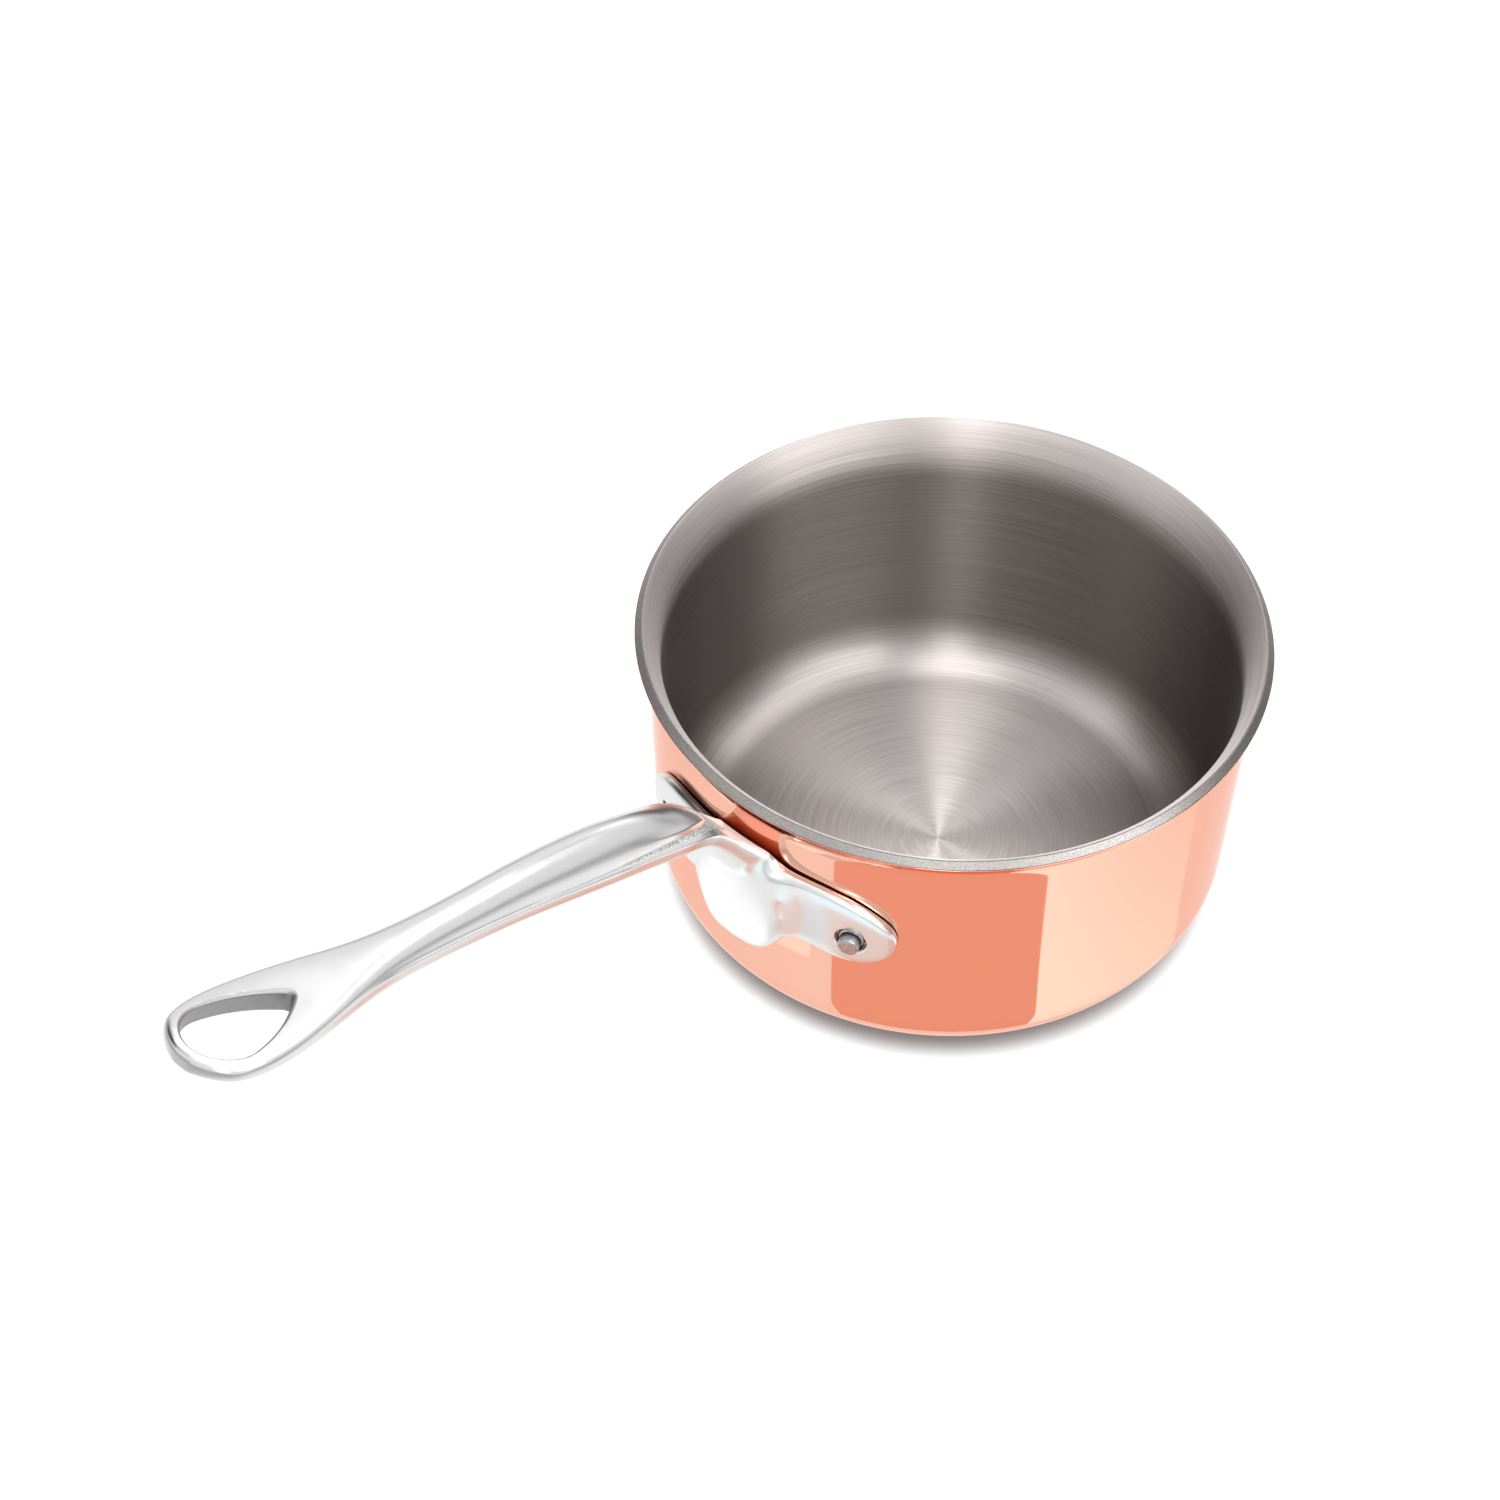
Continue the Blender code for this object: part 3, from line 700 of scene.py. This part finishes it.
def teardrop(grow):
    """Outline of the hanging eye, grown by a distance: a round end and a small tip, joined by
    bulging sides that meet both without a corner."""
    size = grip()
    end, tip, bulge = EYE_END, EYE_TIP, EYE_BULGE
    radius = size.eye_radius / MM
    tip_radius = size.eye_tip_radius / MM
    to_end, to_tip, apart = bulge - radius, bulge - tip_radius, end - tip
    shift = (apart ** 2 + to_end ** 2 - to_tip ** 2) / (2.0 * apart)
    drop = math.sqrt(to_end ** 2 - shift ** 2)
    end_turn = math.atan2(drop, shift)
    tip_turn = math.atan2(drop, shift - apart)
    points = arc(Vector((end, 0.0)), radius + grow, end_turn, -end_turn, 48)
    points += arc(Vector((end - shift, drop)), bulge + grow, -end_turn, -tip_turn, 12)[1:-1]
    points += arc(Vector((tip, 0.0)), tip_radius + grow, -tip_turn, tip_turn - 2.0 * math.pi, 12)
    points += arc(Vector((end - shift, -drop)), bulge + grow, tip_turn, end_turn, 12)[1:-1]
    return points


def eye_cutter():
    """Teardrop cutter through the tail, flared where it leaves the upper and lower faces."""
    lip = grip().eye_lip / MM
    steps = 6
    levels = [(lip, -1, -2.0)]
    for step in range(steps + 1):
        turn = 0.5 * math.pi * step / steps
        levels.append((lip * (1.0 - math.sin(turn)), -1, lip * (1.0 - math.cos(turn))))
    for step in range(steps + 1):
        turn = 0.5 * math.pi * (1.0 - step / steps)
        levels.append((lip * (1.0 - math.sin(turn)), 1, -lip * (1.0 - math.cos(turn))))
    levels.append((lip, 1, 2.0))
    bm = bmesh.new()
    chain = None
    for grow, face, offset in levels:
        places = []
        for point in teardrop(grow):
            level = top_height(point.x, point.y) if face > 0 else -at(MID_THICKNESS, point.x)
            places.append(bend(Vector((point.x, point.y, level + offset))))
        if chain is None:
            chain = [bm.verts.new(place) for place in places]
            for pair in zip(chain, chain[1:] + chain[:1]):
                bm.edges.new(pair)
            bm.faces.new(chain)
        else:
            chain = extrude_to(bm, chain, places)
    bm.faces.new(chain)
    bmesh.ops.recalc_face_normals(bm, faces=bm.faces)
    return mesh_object("eye_cutter", bm)


def make_handle(name, materials):
    cage = mesh_object(name + "_cage", flat_handle())
    subdivision = cage.modifiers.new("Subdivision", "SUBSURF")
    subdivision.levels = grip().detail
    subdivision.render_levels = grip().detail
    bm = evaluated_bmesh(cage)
    for vert in bm.verts:
        vert.co = bend(vert.co)
    bmesh.ops.recalc_face_normals(bm, faces=bm.faces)
    piece = mesh_object(name, bm)
    eye = eye_cutter()
    for material in materials:
        piece.data.materials.append(material)
        eye.data.materials.append(material)
    for face in eye.data.polygons:
        face.material_index = EYE_FINISH_AND_SHADE
    cut(piece, [eye] + [rivet_cutter(side, eased=True) for side in (-1.0, 1.0)])
    return piece


# Finishes

def add_node(tree, kind, values=None, **attributes):
    node = tree.nodes.new(kind)
    for name, value in attributes.items():
        setattr(node, name, value)
    for name, value in (values or {}).items():
        node.inputs[name].default_value = value
    return node


def metal(name, colour, roughness):
    """A material with a metal shader: the material, its tree and the shader."""
    material = bpy.data.materials.new(name)
    material.use_nodes = True
    tree = material.node_tree
    shader = tree.nodes["Principled BSDF"]
    shader.inputs["Base Color"].default_value = (*colour, 1.0)
    shader.inputs["Roughness"].default_value = roughness
    shader.inputs["Metallic"].default_value = 1.0
    return material, tree, shader


def noise(tree, scale, detail=2.0):
    """Noise on the piece's own coordinates, in cells per metre."""
    place = add_node(tree, "ShaderNodeTexCoord")
    texture = add_node(tree, "ShaderNodeTexNoise", {"Scale": scale, "Detail": detail})
    tree.links.new(place.outputs["Object"], texture.inputs["Vector"])
    return texture.outputs["Fac"]


def ramp(tree, value, low, high, dark, light):
    """A value turned into a colour between two colours."""
    mix = add_node(tree, "ShaderNodeMapRange", {"From Min": low, "From Max": high})
    blend = add_node(tree, "ShaderNodeMix", data_type="RGBA")
    blend.inputs["A"].default_value = (*dark, 1.0)
    blend.inputs["B"].default_value = (*light, 1.0)
    tree.links.new(value, mix.inputs["Value"])
    tree.links.new(mix.outputs["Result"], blend.inputs["Factor"])
    return blend.outputs["Result"]


def spread(tree, value, low, high):
    """A value from 0.3 to 0.7 spread over a range."""
    mix = add_node(tree, "ShaderNodeMapRange",
                   {"From Min": 0.3, "From Max": 0.7, "To Min": low, "To Max": high})
    tree.links.new(value, mix.inputs["Value"])
    return mix.outputs["Result"]


def smooth_step(tree, value, start, end, low, high):
    """A value that eases from one level to another over a range."""
    mix = add_node(tree, "ShaderNodeMapRange",
                   {"From Min": start, "From Max": end, "To Min": low, "To Max": high},
                   interpolation_type="SMOOTHSTEP")
    tree.links.new(value, mix.inputs["Value"])
    return mix.outputs["Result"]


def bump(tree, shader, value, strength, depth):
    node = add_node(tree, "ShaderNodeBump", {"Strength": strength, "Distance": depth})
    tree.links.new(value, node.inputs["Height"])
    tree.links.new(node.outputs["Normal"], shader.inputs["Normal"])


def shade(colour, factor):
    return tuple(factor * channel for channel in colour)


def polished_copper():
    colour = finishes().copper
    material, tree, shader = metal("polished_copper", colour, 0.05)
    shader.inputs["Specular Tint"].default_value = (0.97, 0.76, 0.69, 1.0)
    tree.links.new(spread(tree, noise(tree, 160.0, 3.0), 0.04, 0.07), shader.inputs["Roughness"])
    return material


def grained(name, colour, roughness, scale, grain_range, shades, relief=0.0):
    """Metal with a fine grain between two shades of its colour, raised where a relief is given."""
    material, tree, shader = metal(name, colour, roughness)
    grain = noise(tree, scale, 3.0)
    dark, light = (shade(colour, factor) for factor in shades)
    tree.links.new(ramp(tree, grain, *grain_range, dark, light), shader.inputs["Base Color"])
    if relief:
        bump(tree, shader, grain, relief, 0.1 * MM)
    return material


def ground_aluminium():
    colour = finishes().core
    return grained("ground_aluminium", colour, 0.42, 3600.0, (0.38, 0.62), (0.75, 1.2), 0.25)


def brushed_lining():
    """Steel brushed in circles, coarser up the wall and coarsest on the lip; painted shade darkens
    the wall and a painted highlight pales the lip.
    """
    colour = finishes().lining
    material, tree, shader = metal("brushed_lining", colour, 0.36)
    shader.inputs["Anisotropic"].default_value = 0.965
    shader.inputs["Specular Tint"].default_value = (0.15, 0.15, 0.15, 1.0)
    tangent = add_node(tree, "ShaderNodeTangent", direction_type="UV_MAP", uv_map="brush")
    tree.links.new(tangent.outputs["Tangent"], shader.inputs["Tangent"])
    place = add_node(tree, "ShaderNodeTexCoord")
    spot = add_node(tree, "ShaderNodeSeparateXYZ")
    tree.links.new(place.outputs["Object"], spot.inputs["Vector"])
    wall = smooth_step(tree, spot.outputs["Z"], 0.003, 0.015, 0.0, 1.0)
    brushing = add_node(tree, "ShaderNodeUVMap", uv_map="brush")
    lines = add_node(tree, "ShaderNodeMapping", {"Scale": (260.0, 8.0, 1.0)})
    texture = add_node(tree, "ShaderNodeTexNoise", {"Scale": 1.0, "Detail": 4.0})
    tree.links.new(brushing.outputs["UV"], lines.inputs["Vector"])
    tree.links.new(lines.outputs["Vector"], texture.inputs["Vector"])
    streak = ramp(tree, texture.outputs["Fac"], 0.3, 0.7, shade(colour, 0.85), shade(colour, 1.15))
    height = add_node(tree, "ShaderNodeMath", {1: 0.006}, operation="MULTIPLY_ADD")
    tree.links.new(texture.outputs["Fac"], height.inputs[0])
    tree.links.new(spot.outputs["Z"], height.inputs[2])
    lip = smooth_step(tree, height.outputs["Value"], 0.0635, 0.0745, 0.0, 1.0)
    # Painted shade: up the wall the colour falls to about half, standing for the shade there
    depth = ramp(tree, wall, 0.0, 1.0, (1.0, 1.0, 1.0), (0.51, 0.5, 0.485))
    # Painted highlight: on the lip the colour rises to 1.35 times, standing for the light there
    flare = add_node(tree, "ShaderNodeMix", data_type="RGBA")
    flare.inputs["B"].default_value = (1.35, 1.35, 1.35, 1.0)
    tree.links.new(lip, flare.inputs["Factor"])
    tree.links.new(depth, flare.inputs["A"])
    blend = add_node(tree, "ShaderNodeMix", data_type="RGBA", blend_type="MULTIPLY")
    blend.inputs["Factor"].default_value = 1.0
    tree.links.new(streak, blend.inputs["A"])
    tree.links.new(flare.outputs["Result"], blend.inputs["B"])
    tree.links.new(blend.outputs["Result"], shader.inputs["Base Color"])
    coarse = add_node(tree, "ShaderNodeMath", operation="ADD")
    tree.links.new(smooth_step(tree, wall, 0.0, 1.0, 0.352, 0.43), coarse.inputs[0])
    tree.links.new(smooth_step(tree, lip, 0.0, 1.0, 0.0, 0.08), coarse.inputs[1])
    tree.links.new(coarse.outputs["Value"], shader.inputs["Roughness"])
    return material


def polished_casting():
    colour = finishes().casting
    material, tree, shader = metal("polished_casting", colour, 0.24)
    tree.links.new(spread(tree, noise(tree, 220.0, 3.0), 0.21, 0.27), shader.inputs["Roughness"])
    bump(tree, shader, noise(tree, 90.0), 0.05, 0.0006)
    return material


def cast_skin():
    return grained("cast_skin", finishes().casting, 0.5, 2200.0, (0.38, 0.62), (0.35, 1.05), 0.5)


def eye_wall():
    # Painted shade: the eye's inner wall takes half the casting's colour, standing for the shade
    # inside the eye; its roughness is its own
    colour = shade(finishes().casting, 0.5)
    return grained("eye_wall", colour, 0.45, 900.0, (0.35, 0.65), (0.93, 1.0))


def rivet_steel():
    return grained("rivet_steel", finishes().rivet, 0.3, 1500.0, (0.35, 0.65), (0.7, 1.1), 0.15)


# Stage

def studio_point(towards, right, up):
    """A point of the studio: metres from the pan towards the camera, to its right, and up."""
    turn = studio().camera_azimuth
    forward = Vector((math.cos(turn), math.sin(turn), 0.0))
    level = Vector((-math.sin(turn), math.cos(turn), 0.0))
    return towards * forward + right * level + Vector((0.0, 0.0, up))


def white_floor():
    """A pale floor: white to the camera with the pan's shadow and a painted contact shadow, and dim
    far out in the metal.
    """
    material = bpy.data.materials.new("studio_floor")
    material.use_nodes = True
    tree = material.node_tree
    shader = tree.nodes["Principled BSDF"]
    shader.inputs["Base Color"].default_value = (*studio().floor_colour, 1.0)
    shader.inputs["Roughness"].default_value = 0.9
    shader.inputs["Specular IOR Level"].default_value = 0.0
    shader.inputs["Emission Color"].default_value = (1.0, 1.0, 1.0, 1.0)
    path = add_node(tree, "ShaderNodeLightPath")
    # Painted contact shadow: the glow the camera sees fades where ambient occlusion finds the pan
    # near
    near = add_node(tree, "ShaderNodeAmbientOcclusion", {"Distance": 0.007}, samples=16)
    glow_with_painted_shadow = smooth_step(tree, near.outputs["AO"], 0.2, 0.95, 0.12, studio().floor_lift)
    lift = add_node(tree, "ShaderNodeMath", operation="MULTIPLY")
    tree.links.new(path.outputs["Is Camera Ray"], lift.inputs[0])
    tree.links.new(glow_with_painted_shadow, lift.inputs[1])
    tree.links.new(lift.outputs["Value"], shader.inputs["Emission Strength"])
    mirrored = add_node(tree, "ShaderNodeEmission")
    place = add_node(tree, "ShaderNodeTexCoord")
    distance = add_node(tree, "ShaderNodeVectorMath", operation="LENGTH")
    tree.links.new(place.outputs["Object"], distance.inputs[0])
    fade = smooth_step(tree, distance.outputs["Value"], 0.2, 0.65, 1.03, studio().floor_far)
    tree.links.new(fade, mirrored.inputs["Strength"])
    mix = add_node(tree, "ShaderNodeMixShader")
    tree.links.new(path.outputs["Is Glossy Ray"], mix.inputs["Fac"])
    tree.links.new(shader.outputs["BSDF"], mix.inputs[1])
    tree.links.new(mirrored.outputs["Emission"], mix.inputs[2])
    tree.links.new(mix.outputs["Shader"], tree.nodes["Material Output"].inputs["Surface"])
    return material


def make_floor():
    bm = bmesh.new()
    bmesh.ops.create_grid(bm, x_segments=1, y_segments=1, size=FLOOR_HALF)
    bmesh.ops.translate(bm, vec=(0.0, 0.0, -FLOOR_DROP), verts=bm.verts)
    floor = mesh_object("studio_floor", bm)
    floor.data.materials.append(white_floor())


def make_sky():
    """A sky that brightens overhead, with a dark corner behind the pan on either side."""
    world = bpy.data.worlds.new("studio_sky")
    world.use_nodes = True
    tree = world.node_tree
    place = add_node(tree, "ShaderNodeTexCoord")
    rise = add_node(tree, "ShaderNodeSeparateXYZ")
    tree.links.new(place.outputs["Generated"], rise.inputs["Vector"])
    level = smooth_step(tree, rise.outputs["Z"], 0.6, 1.0, studio().sky_low, studio().sky_high)
    for corner, start, end in DARK_CORNERS:
        facing = add_node(tree, "ShaderNodeVectorMath", operation="DOT_PRODUCT")
        facing.inputs[1].default_value = studio_point(*corner)
        tree.links.new(place.outputs["Generated"], facing.inputs[0])
        darker = add_node(tree, "ShaderNodeMath", operation="MULTIPLY")
        share = smooth_step(tree, facing.outputs["Value"], start, end, 1.0, studio().sky_dark)
        tree.links.new(level, darker.inputs[0])
        tree.links.new(share, darker.inputs[1])
        level = darker.outputs["Value"]
    background = tree.nodes["Background"]
    background.inputs["Color"].default_value = (1.0, 1.0, 1.0, 1.0)
    tree.links.new(level, background.inputs["Strength"])
    bpy.context.scene.world = world


def make_lamp(name, place, width, length, radiance, aim=(0.0, 0.0, 0.03), colour=(1.0, 1.0, 1.0)):
    """A soft rectangular lamp that faces the pan or another spot, with its width level."""
    data = bpy.data.lights.new(name, "AREA")
    data.shape = "RECTANGLE"
    data.size = width
    data.size_y = length
    data.energy = radiance * math.pi * width * length
    data.color = colour
    lamp = bpy.data.objects.new(name, data)
    back = (place - Vector(aim)).normalized()
    level = studio_point(0.0, 1.0, 0.0)
    across = (level - back * level.dot(back)).normalized()
    placement = Matrix((across, back.cross(across), back)).transposed().to_4x4()
    placement.translation = place
    lamp.matrix_world = placement
    bpy.context.scene.collection.objects.link(lamp)
    return lamp


def make_card(place, material):
    """A flat card on the floor that only shows as a reflection in the metal."""
    name, first, last, near, far = place
    corners = mirrored_patch(math.radians(first), math.radians(last), near, far)
    bm = bmesh.new()
    bm.faces.new([bm.verts.new(corner) for corner in corners])
    card = mesh_object(name, bm)
    card.data.materials.append(material)
    card.visible_camera = False
    card.visible_diffuse = False
    card.visible_shadow = False


def glowing(name, colour, strength):
    """A shadeless material, with its tree and its light."""
    material = bpy.data.materials.new(name)
    material.use_nodes = True
    tree = material.node_tree
    light = add_node(tree, "ShaderNodeEmission", {"Color": (*colour, 1.0), "Strength": strength})
    tree.links.new(light.outputs["Emission"], tree.nodes["Material Output"].inputs["Surface"])
    return material, tree, light


def mirrored_patch(first, last, near, far):
    """Outline of a floor card that the wall mirrors between two angles from the camera.

    The wall shows the card between the heights whose reflections run out to near and far.
    """
    foot = wall_point(0.0).x
    turns = [first + (last - first) * step / PATCH_STEPS for step in range(PATCH_STEPS + 1)]
    corners = []
    for turn, out in [(turn, near) for turn in turns] + [(turn, far) for turn in reversed(turns)]:
        spot = foot * Vector((math.cos(turn), math.sin(turn)))
        spot += out * Vector((math.cos(2.0 * turn), math.sin(2.0 * turn)))
        corners.append(studio_point(spot.x, spot.y, 0.3 * MM))
    return corners


def make_cards():
    """Cards on the floor beside the pan, which its copper and the handle mirror."""
    warm = glowing("warm_panel", studio().panel_colour, 1.0)[0]
    white = glowing("white_card", (1.0, 1.0, 1.0), 1.3)[0]
    grey = glowing("grey_card", (0.8, 0.8, 0.8), 1.0)[0]
    pale, tree, light = glowing("pale_panel", (1.0, 1.0, 1.0), 1.0)
    place = add_node(tree, "ShaderNodeTexCoord")
    across = add_node(tree, "ShaderNodeVectorMath", operation="DOT_PRODUCT")
    across.inputs[1].default_value = studio_point(0.0, 1.0, 0.0)
    tree.links.new(place.outputs["Object"], across.inputs[0])
    tree.links.new(smooth_step(tree, across.outputs["Value"], 0.03, 0.13, studio().glow, 1.08),
                   light.inputs["Strength"])
    make_card(WARM_PANEL, warm)
    make_card(PALE_PANEL, pale)
    make_card(EAR_CARD, grey)
    make_card(LOBE_CARD, white)


def make_lamps():
    """Soft lamps overhead, in front, behind and at the sides, and four for the handle alone."""
    for name, place, width, length, share in ROOM_LAMPS:
        make_lamp(name, studio_point(*place), width, length, share * studio().lamp)
    lit = bpy.data.collections.new("lit_handle")
    lit.objects.link(bpy.data.objects["handle_casting"])
    handle_lamps = (
        make_lamp("crown_low_lamp", studio_point(-0.6, 1.15, 0.44), 3.2, 0.56, 0.78,
                  aim=(0.0, 0.0, 0.44)),
        make_lamp("crown_high_lamp", studio_point(-0.2675, 1.3235, 1.14), 2.45, 0.84, 0.78,
                  aim=studio_point(0.3325, 0.1735, 1.14)),
        make_lamp("ear_lamp", studio_point(0.0855, -0.0285, 0.03), 0.034, 0.06, 0.2,
                  colour=(0.25, 0.85, 1.0)),
        make_lamp("neck_lamp", Vector((0.074, 0.0, 0.062)), 0.03, 0.026, 0.5,
                  aim=(1.0, 0.0, 0.062)),
    )
    for lamp in handle_lamps:
        lamp.light_linking.receiver_collection = lit


def make_camera():
    look = studio()
    azimuth, elevation, roll = look.camera_azimuth, look.camera_elevation, look.camera_roll
    back = Vector((math.cos(elevation) * math.cos(azimuth), math.cos(elevation) * math.sin(azimuth),
                   math.sin(elevation)))
    level = studio_point(0.0, 1.0, 0.0)
    rise = back.cross(level)
    right = math.cos(roll) * level + math.sin(roll) * rise
    up = math.cos(roll) * rise - math.sin(roll) * level
    camera = bpy.data.objects.new("camera", bpy.data.cameras.new("camera"))
    camera.data.lens = look.lens
    placement = Matrix((right, up, back)).transposed().to_4x4()
    placement.translation = Vector(look.camera_aim) + look.camera_distance * back
    camera.matrix_world = placement
    bpy.context.scene.collection.objects.link(camera)
    bpy.context.scene.camera = camera


class SAUCEPAN_OT_plies(Operator):
    """Model the copper shell, the aluminium core and the brushed lining"""

    bl_idname = "saucepan.plies"
    bl_label = "Pan Plies"

    def execute(self, context):
        size = pan()
        core_depth = size.copper_ply + size.ply_gap
        lining_depth = core_depth + size.core_ply + size.ply_gap
        shell = make_ply("copper_wall", 0.0, size.copper_ply)
        dress(shell, "copper_shell", [polished_copper()])
        core = make_ply("core_layer", core_depth, size.core_ply)
        dress(core, "aluminium_core", [ground_aluminium()])
        lining = make_ply("brushed_inside", lining_depth, size.lining_ply, brushed=True)
        dress(lining, "steel_lining", [brushed_lining()])
        return {"FINISHED"}


class SAUCEPAN_OT_handle(Operator):
    """Model the cast handle with its flange, crown and hanging eye"""

    bl_idname = "saucepan.handle"
    bl_label = "Cast Handle"

    def execute(self, context):
        handle = make_handle("handle_casting", [polished_casting(), cast_skin(), eye_wall()])
        dress(handle, "handle", [], sharp=40.0)
        return {"FINISHED"}


class SAUCEPAN_OT_rivets(Operator):
    """Model the two rivets that hold the handle"""

    bl_idname = "saucepan.rivets"
    bl_label = "Rivets"

    def execute(self, context):
        steel = rivet_steel()
        for name, side in (("left", -1.0), ("right", 1.0)):
            dress(make_rivet(name + "_rivet", side), "rivet_" + name, [steel])
        return {"FINISHED"}


class SAUCEPAN_OT_stage(Operator):
    """Set up the white floor, the sky, the lamps, the cards and the camera"""

    bl_idname = "saucepan.stage"
    bl_label = "Studio"

    def execute(self, context):
        context.scene.view_settings.view_transform = "Standard"
        make_sky()
        make_floor()
        make_cards()
        make_lamps()
        make_camera()
        context.scene.cycles.glossy_bounces = 10
        return {"FINISHED"}


class SAUCEPAN_PT_sidebar(Panel):
    """Lists the steps and the sizes a user may change"""

    bl_idname = "SAUCEPAN_PT_sidebar"
    bl_label = "Copper Saucepan"
    bl_space_type = "VIEW_3D"
    bl_region_type = "UI"
    bl_category = "Saucepan"

    def draw(self, context):
        column = self.layout.column()
        for operator in OPERATORS:
            column.operator(operator.bl_idname)
        for name in GROUPS:
            settings = getattr(context.scene, name)
            box = self.layout.box()
            for key in settings.__annotations__:
                box.prop(settings, key)


OPERATORS = (SAUCEPAN_OT_plies, SAUCEPAN_OT_handle, SAUCEPAN_OT_rivets, SAUCEPAN_OT_stage)
GROUPS = {
    "saucepan_pan": PanSettings,
    "saucepan_handle": HandleSettings,
    "saucepan_finishes": FinishSettings,
    "saucepan_studio": StudioSettings,
}


def register():
    for group in GROUPS.values():
        bpy.utils.register_class(group)
    for name, group in GROUPS.items():
        setattr(bpy.types.Scene, name, PointerProperty(type=group))
    for operator in OPERATORS:
        bpy.utils.register_class(operator)
    bpy.utils.register_class(SAUCEPAN_PT_sidebar)


def unregister():
    bpy.utils.unregister_class(SAUCEPAN_PT_sidebar)
    for operator in reversed(OPERATORS):
        bpy.utils.unregister_class(operator)
    for name, group in GROUPS.items():
        delattr(bpy.types.Scene, name)
        bpy.utils.unregister_class(group)


def main():
    register()
    bpy.ops.saucepan.plies()
    bpy.ops.saucepan.handle()
    bpy.ops.saucepan.rivets()
    bpy.ops.saucepan.stage()


if __name__ == "__main__":
    main()
